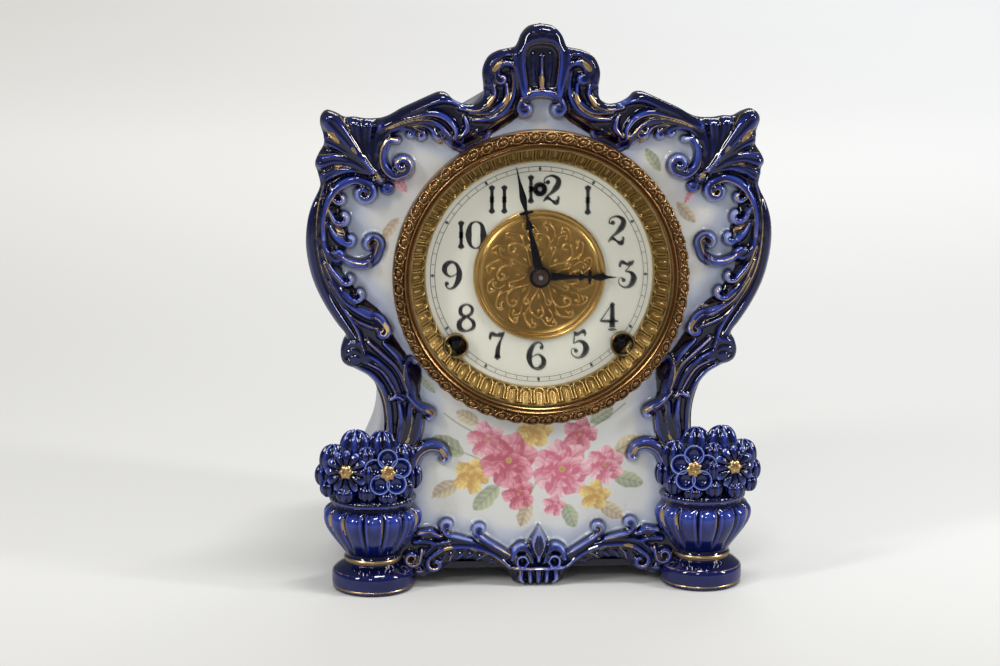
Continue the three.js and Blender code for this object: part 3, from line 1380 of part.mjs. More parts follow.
function countWheel() {
  const module = moduleOf(places.count, places.pinWheel, countTeeth, fineLeaves);
  const disc = (countDiscShare * countTeeth * module) / 2;
  const outline = [];
  let blows = 0;
  for (let hour = 1; hour <= hoursPerRound; hour += 1) {
    const start = (2 * Math.PI * blows) / blowsPerRound;
    blows += hour + 1;
    const end = (2 * Math.PI * blows) / blowsPerRound;
    outline.push(polar(countSlotShare * disc, start - countSlotAngle));
    outline.push(polar(countSlotShare * disc, start + countSlotAngle));
    outline.push(polar(disc, start + countSlotAngle));
    outline.push(polar(disc, (start + end) / 2));
    outline.push(polar(disc, end - countSlotAngle));
  }
  const discBack = countWheelDepth + wheelWidth + sheetThickness;
  return joined([
    toothed(countTeeth, module, countWheelDepth, wheelWidth, places.count),
    plate(outline, countWheelDepth + wheelWidth / 2, discBack, ...places.count),
    arbor(places.count, fineArborRadius, backPlateDepth - sheetThickness, discBack),
  ]);
}

function hammer() {
  const [x, z] = places.hammer;
  const [pinX, pinZ] = places.pinWheel;
  const far = spacing(places.hammer, places.pinWheel);
  const [ux, uz] = [(pinX - x) / far, (pinZ - z) / far];
  const along = (reach, side) => [reach * ux - side * uz, reach * uz + side * ux];
  const half = arborRadius;
  const tail = [along(0, half), along(hammerTail, half / 2), along(hammerTail, -half / 2), along(0, -half)];
  const wireY = (depth) => faceY + depth;
  const headX = -hammerFaceX - hammerHeadLength / 2;
  const line = [
    [x, wireY(hammerWireDepth), dialZ + z],
    [x, wireY(hammerWireDepth), dialZ + z - hammerDrop / 4],
    [x, wireY((hammerWireDepth + gongDepth) / 2), dialZ + z - hammerDrop / 2],
    [(x + headX) / 2, wireY(gongDepth), dialZ + z - (3 * hammerDrop) / 4],
    [headX, wireY(gongDepth), dialZ + z - hammerDrop],
  ];
  const headShape = new THREE.CylinderGeometry(hammerHeadRadius, hammerHeadRadius, hammerHeadLength,
    fittingSides);
  headShape.rotateZ(Math.PI / 2);
  headShape.translate(headX, faceY + gongDepth, dialZ + z - hammerDrop);
  return joined([
    arbor(places.hammer, arborRadius, frontPivot, hammerWireDepth + hammerWireRadius),
    plate(tail, hammerTailDepth, hammerTailDepth + wheelWidth, x, z),
    wire(line, hammerWireRadius, wireSides, wireSteps),
    solid(headShape),
  ]);
}

function liftLever() {
  const [x, z] = places.lever;
  const arm = box(x - leverHalf, x + leverHalf, faceY + liftCamDepth, faceY + liftCamDepth + wheelWidth,
    dialZ + z - leverHalf, dialZ + z + leverLength);
  return arm.add(arbor(places.lever, arborRadius, liftCamDepth, rearPivot));
}

addPiece('pin_wheel', pinWheel(), brass);
addPiece('strike_third_wheel', strikeThirdWheel(), brass);
addPiece('fly', fly(), brass);
addPiece('count_wheel', countWheel(), brass);
addPiece('hammer', hammer(), steel);
addPiece('lift_lever', liftLever(), steel);

// Coiled gong on its post
function gongPost() {
  const foot = floorTop + clearance;
  const half = gongPostWidth / 2;
  const footHigh = gongPostCap / 2;
  const stand = box(-half, half, faceY + postFront, faceY + postFront + gongPostCap, foot,
    gongZ + gongArmRadius);
  const base = box(-2 * half, 2 * half, faceY + postMiddle - gongPostWidth,
    faceY + postMiddle + gongPostWidth,
    foot, foot + footHigh);
  const arm = rodY(gongArmRadius, gongDepth - gongWire, postFront + footHigh, 0, gongZ - dialZ,
    fittingSides);
  const hole = rodZ(bore(gongBoltRadius, fittingSides), foot - cutOverrun, foot + gongBoltDepth + clearance,
    0, faceY + postMiddle, fittingSides);
  return joined([stand, base, arm]).subtract(hole);
}

function gongCoil() {
  const count = Math.round(gongTurns * gongStepsPerTurn);
  const line = Array.from({ length: count + 1 }, (_, k) => {
    const radius = gongInner + ((gongOuter - gongInner) * k) / count;
    const [x, z] = polar(radius, Math.PI - (2 * Math.PI * k) / gongStepsPerTurn);
    return [x, faceY + gongDepth, gongZ + z];
  });
  return wire(line, gongWire, reliefSides, count);
}

function gongBolt() {
  const under = floorHeight - clearance;
  const y = faceY + postMiddle;
  return rodZ(gongBoltHead, under - boltHeadHigh, under, 0, y, boltSides)
    .add(rodZ(gongBoltRadius, under - boltHeadHigh, floorTop + gongBoltDepth, 0, y, fittingSides));
}

addPiece('gong_post', gongPost(), castIron);
addPiece('gong_coil', gongCoil(), steel);
addPiece('gong_bolt', gongBolt(), steel);

export default clock;
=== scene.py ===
"""Looks of the porcelain mantel clock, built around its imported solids. Tables are in millimetres."""

import math

import bmesh
import bpy
import numpy as np
from mathutils import Matrix, Vector
from mathutils.geometry import tessellate_polygon


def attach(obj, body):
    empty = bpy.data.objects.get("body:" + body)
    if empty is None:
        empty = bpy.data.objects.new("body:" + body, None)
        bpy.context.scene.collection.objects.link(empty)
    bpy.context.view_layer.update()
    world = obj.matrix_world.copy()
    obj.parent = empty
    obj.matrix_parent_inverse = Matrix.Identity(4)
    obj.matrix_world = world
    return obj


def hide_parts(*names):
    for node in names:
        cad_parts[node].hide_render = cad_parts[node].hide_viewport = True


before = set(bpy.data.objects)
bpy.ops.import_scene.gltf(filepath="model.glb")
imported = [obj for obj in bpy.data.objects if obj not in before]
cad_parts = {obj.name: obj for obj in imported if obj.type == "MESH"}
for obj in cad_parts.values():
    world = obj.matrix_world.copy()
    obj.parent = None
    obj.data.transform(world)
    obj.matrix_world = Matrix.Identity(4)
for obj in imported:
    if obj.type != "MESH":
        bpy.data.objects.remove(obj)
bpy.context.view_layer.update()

MM = 0.001
FACE = -39.95
DIAL_Z = 160.0
HALF_WIDTH = 116.25
HEIGHT = 285.0
PANEL = 12.0
FRONT_HOLE = 68.5
BEZEL_SEAT = 76.2
REAR_HOLE = 66.5
BODY_DEPTH = 97.0
GRID = 0.5

# Outline of the front, as shares of the half width and the height, from the top down the side
OUTLINE_SHARES = [
    (0, 1), (0.05, 0.996), (0.082, 0.983), (0.1, 0.966), (0.112, 0.96), (0.145, 0.957), (0.185, 0.953),
    (0.225, 0.942), (0.247, 0.92), (0.243, 0.893), (0.244, 0.877), (0.262, 0.866), (0.293, 0.861),
    (0.335, 0.863), (0.374, 0.871), (0.4, 0.881), (0.43, 0.883), (0.465, 0.878), (0.525, 0.867),
    (0.59, 0.855), (0.637, 0.844), (0.68, 0.838), (0.74, 0.837), (0.79, 0.84), (0.83, 0.84),
    (0.869, 0.848), (0.908, 0.852), (0.932, 0.842), (0.933, 0.828), (0.92, 0.81), (0.92, 0.793),
    (0.942, 0.777), (0.957, 0.761), (0.946, 0.746), (0.936, 0.728), (0.942, 0.714), (0.972, 0.688),
    (0.992, 0.66), (1, 0.625), (0.991, 0.589), (0.968, 0.554), (0.929, 0.519), (0.877, 0.484),
    (0.834, 0.461), (0.847, 0.446), (0.857, 0.428), (0.846, 0.412), (0.813, 0.403), (0.783, 0.396),
    (0.74, 0.386), (0.701, 0.368), (0.677, 0.347), (0.665, 0.323), (0.662, 0.29), (0.7, 0.2),
    (0.722, 0.12), (0.7, 0.05), (0.6, 0.022), (0.53, 0.018), (0.44, 0.024), (0.39, 0.04), (0.33, 0.047),
    (0.27, 0.045), (0.2, 0.036), (0.14, 0.028), (0.118, 0.016), (0.1, 0.003), (0, 0.003),
]

# Edge of the pale field, half of it, from the middle of the top down
FIELD = [
    (0, 248.5), (5, 247.5), (8, 243), (13, 238), (20, 233.5), (28, 228), (36, 222), (44, 227), (50, 231),
    (58, 234.5), (66, 236.5), (73, 234), (77, 229), (79, 220), (79, 212), (79, 206), (84, 205), (92, 210),
    (99, 206), (99, 196), (96, 188), (95, 178), (98, 170), (98, 163), (93, 156), (87, 149), (79, 142),
    (74, 132), (67, 121), (61, 117), (59, 110), (60, 100), (58, 92), (61, 84), (64, 77), (66, 69),
    (67, 58), (67, 45), (64, 36), (60, 30), (52, 26.5), (44, 25), (36, 23), (24, 21), (14, 19), (0, 18),
]

# Raised lines of the right half: points, half widths along the line, how proud,
# curl (radius, turns, side) and gold edge
RELIEF = [
    # Crest
    ([(0, 281), (7, 279), (11, 273.5), (11.3, 266), (9.8, 258), (8.6, 251)], (5, 3.4, 2), 8, None, -0.75),
    ([(0, 270), (0, 263), (0, 254.5)], (0.4, 1, 2), 6, None, 0),
    ([(4.2, 271), (4.2, 263), (3.4, 256)], (0.5, 1, 0.8), 4.2, None, None),
    ([(0, 252), (5, 251.3), (9, 248.6), (10.6, 245)], (2, 2, 2), 7, (2.6, 1.05, -1), 0.5),
    ([(13.5, 272), (20, 271.8), (25.6, 268), (27.4, 262), (26, 256.5)], (2.6, 3.2, 2.4), 7, None, None),
    ([(11.5, 261.5), (14.5, 265.5), (19, 266.3), (22.4, 263.5), (22.2, 259)], (1.4, 2.4, 2), 6.6,
     (2.3, 0.7, -1), 0.2),
    ([(14, 262), (13.3, 255), (15, 248), (19, 242.5), (26, 239), (34, 238.6)], (1.4, 1.9, 1.1), 6, None, 0.5),
    ([(17.4, 256), (17.4, 249.5), (20.5, 245.4), (26, 242.2), (35, 242)], (1, 2, 1.2), 6, None, -0.3),
    ([(23.5, 255), (23.6, 250.5), (27, 246), (33, 243.6), (40, 244.5)], (1, 2.3, 1.4), 6.4, None, -0.2),
    ([(27, 253), (29, 249), (35, 246.6), (43, 248.5), (49, 251)], (2, 2.3, 2.4), 6.4, None, None),
    # Shoulder leaf
    ([(38, 245.5), (45, 248.7), (51.5, 249), (60, 245.8), (68, 242.4), (75, 238.6), (79, 235)],
     (1.5, 3.3, 2.2), 7.4, None, None),
    ([(77, 234.5), (70, 238), (62, 240.4), (54, 241.8), (47, 239.4), (42.5, 234), (42, 229.5)], (1, 2.1, 1.2),
     6.8, (2.4, 0.5, -1), 0.3),
    ([(74, 234.6), (65, 237.4), (57, 238.2), (50.5, 236), (45, 230.5), (38.5, 225.6)], (0.9, 1.9, 1.3), 6.2,
     None, -0.3),
    ([(68, 234.8), (60, 236.2), (54.5, 234.6), (51.6, 230.5)], (0.8, 1.8, 1.4), 5.8, (2.3, 0.8, -1), 0.2),
    ([(68, 234.2), (62.5, 234.6), (58.8, 233)], (0.8, 1.6, 1.3), 5.4, (2, 0.8, 1), 0),
    ([(79, 228), (75.5, 232.6), (70, 235), (64.5, 234.2)], (1.6, 2, 1.3), 6, (2, 0.8, 1), None),
    ([(26, 232), (28.4, 228), (33, 225), (38.5, 224.2), (44.5, 227.4), (49, 231.5)], (1.4, 2, 1.1), 5,
     None, -0.6),
    ([(30.4, 231), (31.4, 230.6)], (2.4, 2.4, 2.4), 5.6, None, 0),
    ([(37.6, 240), (36.6, 234.5), (39.6, 230)], (1, 2, 1.4), 6, None, 0.2),
    # Corner fan
    ([(80.4, 212), (82, 221), (80.5, 230), (78.6, 236)], (0.9, 2, 2.6), 6.4, None, None),
    ([(81.2, 212.6), (84.6, 222), (85.8, 230), (85.4, 236.6)], (0.9, 2.1, 3), 6.8, None, -0.85),
    ([(82, 213), (87.6, 222), (90.8, 231), (92, 238)], (0.9, 2.2, 3.1), 7, None, -0.85),
    ([(82.6, 213), (90, 222), (97, 231), (103.4, 238.6)], (1.1, 2.8, 4.8), 8.6, None, 0.85),
    ([(83.4, 213), (92, 220.4), (99.5, 226), (105.4, 229)], (1, 2.1, 2.9), 6.8, None, 0.8),
    ([(84, 212.6), (93, 217.6), (101, 219.6), (108, 218.4)], (1, 2.3, 3.6), 7.2, None, 0.75),
    ([(84.6, 211.8), (93.6, 214.2), (101.6, 213.4), (106.8, 210.6)], (1, 2, 2.6), 6.4, None, 0.7),
    # Inner curl and beads
    ([(71, 228.6), (75.4, 228.4), (78.2, 222.5), (77.4, 215.6), (72.6, 211.2), (67.8, 212.2)],
     (1.7, 2.4, 2.2), 7, (4, 1.1, -1), 0.4),
    ([(75.8, 205), (76, 205)], (2.8, 2.8, 2.8), 5.4, None, None),
    ([(79.4, 209.6), (80, 209.6)], (2.5, 2.5, 2.5), 6, None, 0),
    # Side scroll
    ([(107.6, 180), (107.6, 190), (105, 199), (99.5, 206), (92, 209.2), (86, 207.4)], (1.6, 2.3, 2.4), 7.6,
     (4.6, 1.15, 1), 0.45),
    ([(107.6, 182), (106.8, 175), (103, 170.4)], (1.6, 2, 1.7), 6.6, (2.8, 0.9, -1), None),
    ([(108.6, 211), (111.2, 203), (113.6, 192), (113.8, 182), (112.6, 170), (109.6, 158), (104.6, 147),
      (98.4, 137), (92, 127), (87, 118)], (1.8, 2.6, 2.2), 6.4, None, None),
    ([(107, 207), (109.6, 196), (110.6, 184), (109, 169), (104.4, 156), (98, 145), (91.4, 134), (88, 124)],
     (0.8, 1.5, 1), 6, None, 0.3),
    ([(103.5, 205.5), (102.4, 200)], (1.2, 1.7, 1.7), 6.4, (3, 0.65, -1), 0.2),
    ([(106, 197), (103, 189.6)], (1.2, 2, 2), 6.8, (4.4, 0.62, -1), 0),
    ([(105.6, 188), (101, 180.6), (96.6, 177.6)], (1.2, 2, 1.8), 6.6, (2.6, 0.6, -1), None),
    ([(102, 173), (95.5, 168.6), (88.5, 166.8), (82.6, 169.4), (80, 175.4)], (1.6, 2.3, 2), 6.8,
     (4, 0.95, -1), -0.3),
    ([(108, 175), (104, 165), (99, 158.4)], (1, 1.9, 1.8), 6.4, (3.6, 0.55, -1), 0.1),
    ([(107, 168), (101.6, 156.6), (95, 149.6)], (1, 2, 1.9), 6.6, (4.4, 0.55, -1), 0.3),
    ([(104.6, 159), (97, 148.4), (88, 142.4), (80.6, 139.4), (76.6, 134.5)], (1, 2.2, 2), 6.8, (2.8, 0.75, 1),
     0.2),
    ([(101, 150), (94, 140.4), (87, 136.4), (81, 134)], (0.8, 1.6, 1), 5.4, None, -0.2),
    # Volute and straps
    ([(90.6, 127.6), (94.6, 127.2)], (1.8, 2.2, 2.2), 6.6, (6, 1.2, -1), None),
    ([(92.4, 119.6), (92.6, 119.6)], (2.7, 2.7, 2.7), 7.4, None, None),
    ([(90, 114.6), (83.6, 110.4), (78.6, 103.4), (76.2, 95), (75.4, 86), (74.8, 78)], (1.4, 2, 1.6), 5.6,
     None, 0.5),
    ([(86, 117), (78.6, 112.6), (73.4, 104.4), (71.4, 99)], (1, 1.7, 1.3), 5.8, None, 0),
    ([(88, 122), (80, 117), (73.6, 110.4), (69.6, 101)], (1, 1.7, 1), 5.8, None, None),
    ([(86, 128), (78.4, 121), (71.4, 114), (67.4, 104.6), (64.6, 96)], (1, 1.8, 1.2), 6, None, -0.2),
    ([(78, 127), (71.4, 119.6), (66.6, 111), (63.6, 101)], (1, 1.7, 1.2), 5.6, None, None),
    ([(62.6, 116.6), (65.4, 117.8), (67.4, 113), (65.8, 103), (62.8, 95)], (1.4, 2.2, 1.8), 6.2, None, 0.35),
    ([(66.5, 100.5), (61, 94.4), (55.4, 91.6)], (1.6, 2.4, 1.8), 6.6, (2.2, 0.5, 1), 0),
    ([(60.4, 91), (61.8, 83), (65, 75), (68.4, 67)], (2, 3.2, 2), 5.4, None, -0.8),
    ([(65, 96), (66, 85), (69, 75), (71, 67)], (1.6, 2.6, 1.6), 5.6, None, -0.5),
    ([(70.6, 97), (69.6, 88), (70.6, 80), (72.4, 72)], (1, 2.1, 1), 6, None, 0.55),
    ([(68.6, 98.4), (71.6, 100), (75, 98.4)], (1.2, 1.8, 1.2), 6.6, None, 0),
    ([(63.4, 57), (63.6, 64), (60.6, 70.6), (55.4, 73.6), (49.8, 72.6), (47.2, 68.6)], (2, 3, 2.4), 7,
     (1.9, 0.35, 1), 0.3),
    # Apron
    ([(14.5, 10), (22, 16.4), (31, 20.2), (40, 21.4), (48.6, 20.2), (55, 16)], (1.3, 1.8, 1.7), 6.4,
     (4.4, 0.95, -1), -0.4),
    ([(15.6, 14.6), (24, 19.6), (34, 23), (44, 24), (52, 22.4), (58, 17.6)], (1.1, 1.5, 1.2), 5.6,
     None, None),
    ([(15, 16.6), (22, 20.8), (28, 24.6), (31.6, 28)], (1.2, 1.8, 1.8), 6.2, (2.6, 0.85, 1), 0.2),
    ([(34, 24.4), (41, 26), (46.6, 27.6), (48.6, 31)], (1.1, 1.7, 1.8), 6.2, (2.5, 0.85, 1), -0.2),
    ([(50, 26.6), (55, 28.2), (61, 28.4)], (1.4, 2.4, 1.4), 5.8, None, 0.3),
    ([(53, 23), (58, 24.6), (63, 24)], (1.4, 2.2, 1.4), 5.8, None, None),
    ([(59.4, 19), (60.2, 14.6)], (1.5, 1.8, 1.8), 6.4, (4.2, 1.1, 1), 0.1),
    ([(60.6, 8.6), (61, 8.6)], (2.2, 2.2, 2.2), 6, None, 0),
    ([(58.6, 5.2), (59, 5.2)], (2, 2, 2), 6, None, None),
    # Bud, lobes and pendant under it
    ([(0, 13.5), (0, 19), (0, 25), (0, 31)], (1.2, 4.6, 0.5), 8.6, None, None),
    ([(0, 15), (2.6, 20.5), (2.2, 25.5), (0, 31)], (0.3, 0.8, 0.4), 9.6, None, 0.4),
    ([(0, 14), (0, 22), (0, 29)], (0.3, 0.7, 0.3), 10, None, None),
    ([(3, 12.5), (4.6, 18), (8.4, 20.6), (12, 18.6), (13.4, 14.4)], (1, 2.4, 1.6), 7.4, None, -0.6),
    ([(5, 12.6), (7, 15.8), (10.4, 14.8), (10.6, 11.4), (7.6, 10.4), (5.6, 12)], (0.9, 0.9, 0.9), 8,
     None, None),
    ([(0, 9.6), (6, 9.4), (12.4, 9.8)], (1.1, 1.1, 1.1), 8.4, None, 0.3),
    ([(0, 8), (0, 1.2)], (1.9, 1.5), 7.4, None, 0.4),
    ([(4.4, 8), (4, 1.2)], (1.7, 1.3), 7.4, None, 0.4),
    ([(8.6, 8), (9, 4), (7.4, 1.4)], (1.7, 1.6, 1.2), 7.4, None, 0.4),
    # Leaf fringe under the apron's arch
    ([(19, 14), (23, 13), (25.6, 10.8)], (1, 1.9, 1), 4.6, None, None),
    ([(25, 17), (29, 15.8), (31.6, 13)], (1, 1.8, 1), 4.8, None, 0),
    ([(31, 18.4), (34.4, 16.6), (36.6, 13.6)], (1, 1.8, 1), 4.8, None, None),
    ([(36.6, 19), (39.4, 17), (41.2, 14)], (1, 1.8, 1), 4.8, None, None),
    ([(42, 19), (44.2, 16.8), (45.4, 13.4)], (1, 1.8, 1), 4.8, None, 0),
    ([(47, 18), (48.8, 14.8), (49.4, 11)], (1, 1.8, 1), 4.8, None, None),
]

# Touches of gold: place, size, way it runs in degrees
GOLD_SPOTS = [
    (22, 265, 1.7, -50), (17.4, 249, 1.5, -75), (25, 248, 1.7, -60), (0, 257, 1.8, 90),
    (31.6, 230.6, 1.3, 20),
    (50, 227.6, 1.3, 60), (102, 230.4, 1.9, 48), (80.4, 210.6, 1.4, 50), (99.4, 184.4, 1.5, 40),
    (76.6, 135, 1.4, 60), (48.2, 70.6, 1.4, 50), (45.8, 20.8, 1.3, -15), (54.8, 91.8, 1.3, 30),
    (92, 224, 1, 52), (99.8, 216, 1, -20), (66.5, 77, 1, -60), (33, 19.6, 1, 20),
]


def smooth_line(points, step=0.4, closed=False):
    """Points set closely along a smooth line through the given ones."""
    given = np.array(points, float)
    if closed:
        given = np.vstack([given[-1], given, given[:2]])
    else:
        given = np.vstack([2 * given[0] - given[1], given, 2 * given[-1] - given[-2]])
    runs = []
    for a, b, c, d in zip(given[:-3], given[1:-2], given[2:-1], given[3:]):
        count = max(2, int(np.linalg.norm(c - b) / step) + 1)
        t = np.linspace(0, 1, count, endpoint=False)[:, None]
        squared, cubed = (2 * a - 5 * b + 4 * c - d) * t**2, (3 * b - a - 3 * c + d) * t**3
        runs.append(0.5 * (2 * b + (c - a) * t + squared + cubed))
    if not closed:
        runs.append(given[-2:-1])
    return np.vstack(runs)


def curled_line(points, curl):
    """A smooth line whose end winds into a curl."""
    line = smooth_line(points)
    if curl is None:
        return line
    radius, turns, side = curl
    way = line[-1] - line[-2]
    heading = math.atan2(way[1], way[0])
    steps = max(8, int(turns * 40))
    spots = [line[-1]]
    for k in range(steps):
        turn = 2 * math.pi * turns / steps
        heading += side * turn
        reach = radius * (1 - 0.7 * k / steps) * turn
        spots.append(spots[-1] + reach * np.array([math.cos(heading), math.sin(heading)]))
    return np.vstack([line, spots[1:]])


def spread(values, count):
    """Start, middle and end values run along a line."""
    return np.interp(np.linspace(0, 1, count), np.linspace(0, 1, len(values)), values)


def inside(points, outline):
    """Whether points lie inside a closed outline."""
    found = np.zeros(len(points), bool)
    x, z = points[:, 0], points[:, 1]
    for (x0, z0), (x1, z1) in zip(outline, np.roll(outline, -1, 0)):
        if z0 == z1:
            continue
        crossing = ((z0 > z) != (z1 > z)) & (x < (x1 - x0) * (z - z0) / (z1 - z0) + x0)
        found ^= crossing
    return found


def nearest(points, line, block=4000):
    """Distance to the nearest point of a close-set line, and its number."""
    gap = np.empty(len(points))
    number = np.empty(len(points), int)
    for start in range(0, len(points), block):
        part = points[start:start + block]
        squared = ((part[:, None] - line[None]) ** 2).sum(2)
        k = squared.argmin(1)
        number[start:start + block] = k
        gap[start:start + block] = np.sqrt(squared[np.arange(len(part)), k])
    return gap, number


def ramp(value, low, high):
    """Nought below low, one above high, smooth between."""
    share = np.clip((value - low) / (high - low), 0, 1)
    return share * share * (3 - 2 * share)


def mirrored_outline(half):
    """A closed outline from its right half."""
    half = np.array(half, float)
    other = half[half[:, 0] > 0] * (-1, 1)
    return np.vstack([half, other[::-1]])


def full_turn(count):
    """Even bearings once round."""
    return np.linspace(0, 2 * math.pi, count, endpoint=False)


def normals(line):
    """Unit directions square to a flat line."""
    way = np.gradient(line, axis=0)
    way /= np.hypot(*way.T)[:, None] + 1e-9
    return np.stack([-way[:, 1], way[:, 0]], 1)


# Meshes
def make_mesh(name, corners, faces, material, smooth_angle=None, values=None, colours=None):
    mesh = bpy.data.meshes.new(name)
    mesh.from_pydata(np.asarray(corners, float).tolist(), [], [tuple(int(i) for i in f) for f in faces])
    mesh.validate()
    for key, data in (values or {}).items():
        mesh.attributes.new(key, "FLOAT", "POINT").data.foreach_set("value", np.asarray(data, np.float32))
    for key, data in (colours or {}).items():
        layer = mesh.attributes.new(key, "FLOAT_COLOR", "POINT")
        layer.data.foreach_set("color", np.asarray(data, np.float32).ravel())
    mesh.materials.append(material)
    mesh.polygons.foreach_set("use_smooth", np.ones(len(mesh.polygons), bool))
    if smooth_angle:
        mesh.set_sharp_from_angle(angle=math.radians(smooth_angle))
    mesh.update()
    piece = bpy.data.objects.new(name, mesh)
    bpy.context.scene.collection.objects.link(piece)
    return piece


def place(piece, body, nodes=()):
    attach(piece, body)
    if nodes:
        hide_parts(*nodes)
    return piece


def grid_faces(rows, columns, wrap_rows=False, wrap_columns=False):
    """Quads over a sheet of corners numbered row by row."""
    faces = []
    for i in range(rows if wrap_rows else rows - 1):
        for j in range(columns if wrap_columns else columns - 1):
            a = i * columns + j
            b = i * columns + (j + 1) % columns
            c = ((i + 1) % rows) * columns + (j + 1) % columns
            d = ((i + 1) % rows) * columns + j
            faces.append((a, b, c, d))
    return faces


def face_outward(piece):
    work = bmesh.new()
    work.from_mesh(piece.data)
    bmesh.ops.recalc_face_normals(work, faces=work.faces)
    work.to_mesh(piece.data)
    work.free()


# Values and finishes made of nodes
class Value:
    """A shader value that takes part in plain arithmetic."""

    def __init__(self, finish, socket):
        self.finish = finish
        self.socket = socket

    def maths(self, operation, *others):
        node = self.finish.add("ShaderNodeMath", {"operation": operation})
        for k, given in enumerate((self, *others)):
            self.finish.plug(node.inputs[k], given)
        return Value(self.finish, node.outputs[0])

    def __add__(self, other):
        return self.maths("ADD", other)

    def __sub__(self, other):
        return self.maths("SUBTRACT", other)

    def __rsub__(self, other):
        return (self * -1) + other

    def __mul__(self, other):
        return self.maths("MULTIPLY", other)

    def rise(self, low, high):
        """Nought below low, one above high, smooth between."""
        node = self.finish.add("ShaderNodeMapRange", {"interpolation_type": "SMOOTHSTEP"})
        self.finish.plug(node.inputs["Value"], self)
        node.inputs["From Min"].default_value = low
        node.inputs["From Max"].default_value = high
        return Value(self.finish, node.outputs["Result"])

    def size(self):
        return self.maths("ABSOLUTE")

    def most(self, other):
        return self.maths("MAXIMUM", other)


class Finish:
    """A material built from nodes."""

    def __init__(self, name):
        self.material = bpy.data.materials.new(name)
        self.material.use_nodes = True
        self.tree = self.material.node_tree
        self.tree.nodes.clear()
        self.place = None

    def add(self, kind, settings=None, sockets=None):
        node = self.tree.nodes.new(kind)
        for key, value in (settings or {}).items():
            setattr(node, key, value)
        for key, value in (sockets or {}).items():
            self.plug(node.inputs[key], value)
        return node

    def plug(self, socket, given):
        if isinstance(given, Value):
            given = given.socket
        if isinstance(given, bpy.types.NodeSocket):
            self.tree.links.new(given, socket)
        elif isinstance(given, tuple) and len(given) == 3 and socket.type == "RGBA":
            socket.default_value = (*given, 1)
        else:
            socket.default_value = given

    def spot(self):
        if self.place is None:
            self.place = self.add("ShaderNodeTexCoord").outputs["Object"]
        return self.place

    def attribute(self, name):
        node = self.add("ShaderNodeAttribute", {"attribute_name": name, "attribute_type": "GEOMETRY"})
        return Value(self, node.outputs["Fac"])

    def paint(self, name):
        return self.add("ShaderNodeAttribute",
                        {"attribute_name": name, "attribute_type": "GEOMETRY"}).outputs["Color"]

    def noise(self, scale, detail=4.0, roughness=0.55):
        node = self.add("ShaderNodeTexNoise", None,
                        {"Vector": self.spot(), "Scale": scale, "Detail": detail, "Roughness": roughness})
        return Value(self, node.outputs["Fac"])

    def cells(self, scale, feature="F1"):
        node = self.add("ShaderNodeTexVoronoi", {"feature": feature}, {"Vector": self.spot(), "Scale": scale})
        return Value(self, node.outputs["Distance"])

    def mix(self, share, first, second):
        node = self.add("ShaderNodeMix", {"data_type": "RGBA"})
        self.plug(node.inputs[0], share)
        self.plug(node.inputs[6], first)
        self.plug(node.inputs[7], second)
        return node.outputs[2]

    def bump(self, height, distance, strength):
        node = self.add("ShaderNodeBump", None,
                        {"Strength": strength, "Distance": distance, "Height": height})
        return node.outputs["Normal"]

    def surface(self, **sockets):
        shader = self.add("ShaderNodeBsdfPrincipled")
        for key, value in sockets.items():
            self.plug(shader.inputs[key.replace("_", " ")], value)
        end = self.add("ShaderNodeOutputMaterial")
        self.tree.links.new(shader.outputs[0], end.inputs["Surface"])
        return self.material


NAVY = (0.001, 0.0014, 0.012)
COBALT = (0.002, 0.0055, 0.075)
THIN_AND_LIT_BLUE = (0.022, 0.042, 0.26)
HAZE = (0.24, 0.28, 0.42)
PALE_BLUE = (0.42, 0.46, 0.56)
CHINA = (0.62, 0.615, 0.58)
RIDGE_GLAZE_AND_SHEEN = (0.2, 0.25, 0.46)
GILT = (0.76, 0.52, 0.24)


def cobalt(f, cloud):
    """Glaze that is nearly black where it lies thick and bright blue where it is thin. The thin value also
    carries painted shade in the hollows and painted highlights on ridges, crests and upper tops, and at its
    highest a pale painted sheen along the ridges.
    """
    thin = f.attribute("thin") + (cloud - 0.5) * 0.5
    colour = f.mix(thin.rise(0.62, 1.15), f.mix(thin.rise(0.2, 0.75), NAVY, COBALT), THIN_AND_LIT_BLUE)
    # Past the top of the thin value, a pale blue painted highlight along the ridges
    return f.mix(thin.rise(1.25, 1.7), colour, RIDGE_GLAZE_AND_SHEEN)


def crackle(f, scale, wide, low):
    """Fine cracks of the glaze, which show in patches."""
    cracks = f.cells(scale, "DISTANCE_TO_EDGE")
    return (1 - cracks.rise(0.0, wide)) * f.noise(22.0, 2.0).rise(low, low + 0.25)


def gilded_glaze(f, body, gold, fine):
    """Glossy glaze with gold laid on it."""
    return f.surface(
        Base_Color=f.mix(gold, body, GILT), Roughness=gold * 0.25 + (fine * 0.05 + 0.045), Metallic=gold,
        Coat_Weight=1 - gold * 0.6, Coat_Roughness=0.03, IOR=1.5,
        Normal=f.bump(f.noise(95.0, 2.0), 0.0004, 0.3))


def glazed_front():
    """Cobalt glaze over white china, with gold lines, haze and painted flowers."""
    f = Finish("cobalt_glaze_front")
    cloud = f.noise(38.0, 5.0)
    fine = f.noise(420.0, 3.0)
    pale = f.attribute("pale") + (cloud - 0.5) * 1.2
    haze = f.attribute("haze") + (cloud - 0.5) * 0.35
    china = f.mix(f.noise(14.0, 3.0).rise(0.35, 0.75), CHINA, (0.6, 0.61, 0.61))
    field = f.mix(haze.rise(0.02, 0.55), PALE_BLUE, china)
    field = f.mix(haze.rise(-0.1, 0.08), HAZE, field)
    field = f.mix(f.attribute("painted"), field, f.paint("flowers"))
    field = f.mix(crackle(f, 360.0, 0.03, 0.4) * 0.25, field, (0.3, 0.27, 0.23))
    body = f.mix(pale.rise(-0.5, 0.5), cobalt(f, cloud), field)
    line = f.attribute("gold_line").size() + (fine - 0.5) * 0.5 + (cloud - 0.4) * 1.3
    gold = (1 - line.rise(0.2, 0.36)) * (1 - pale.rise(0.2, 0.8))
    spot = f.attribute("gilt") + (fine - 0.5) * 0.9
    return gilded_glaze(f, body, gold.most(spot.rise(0.5, 0.62)), fine)


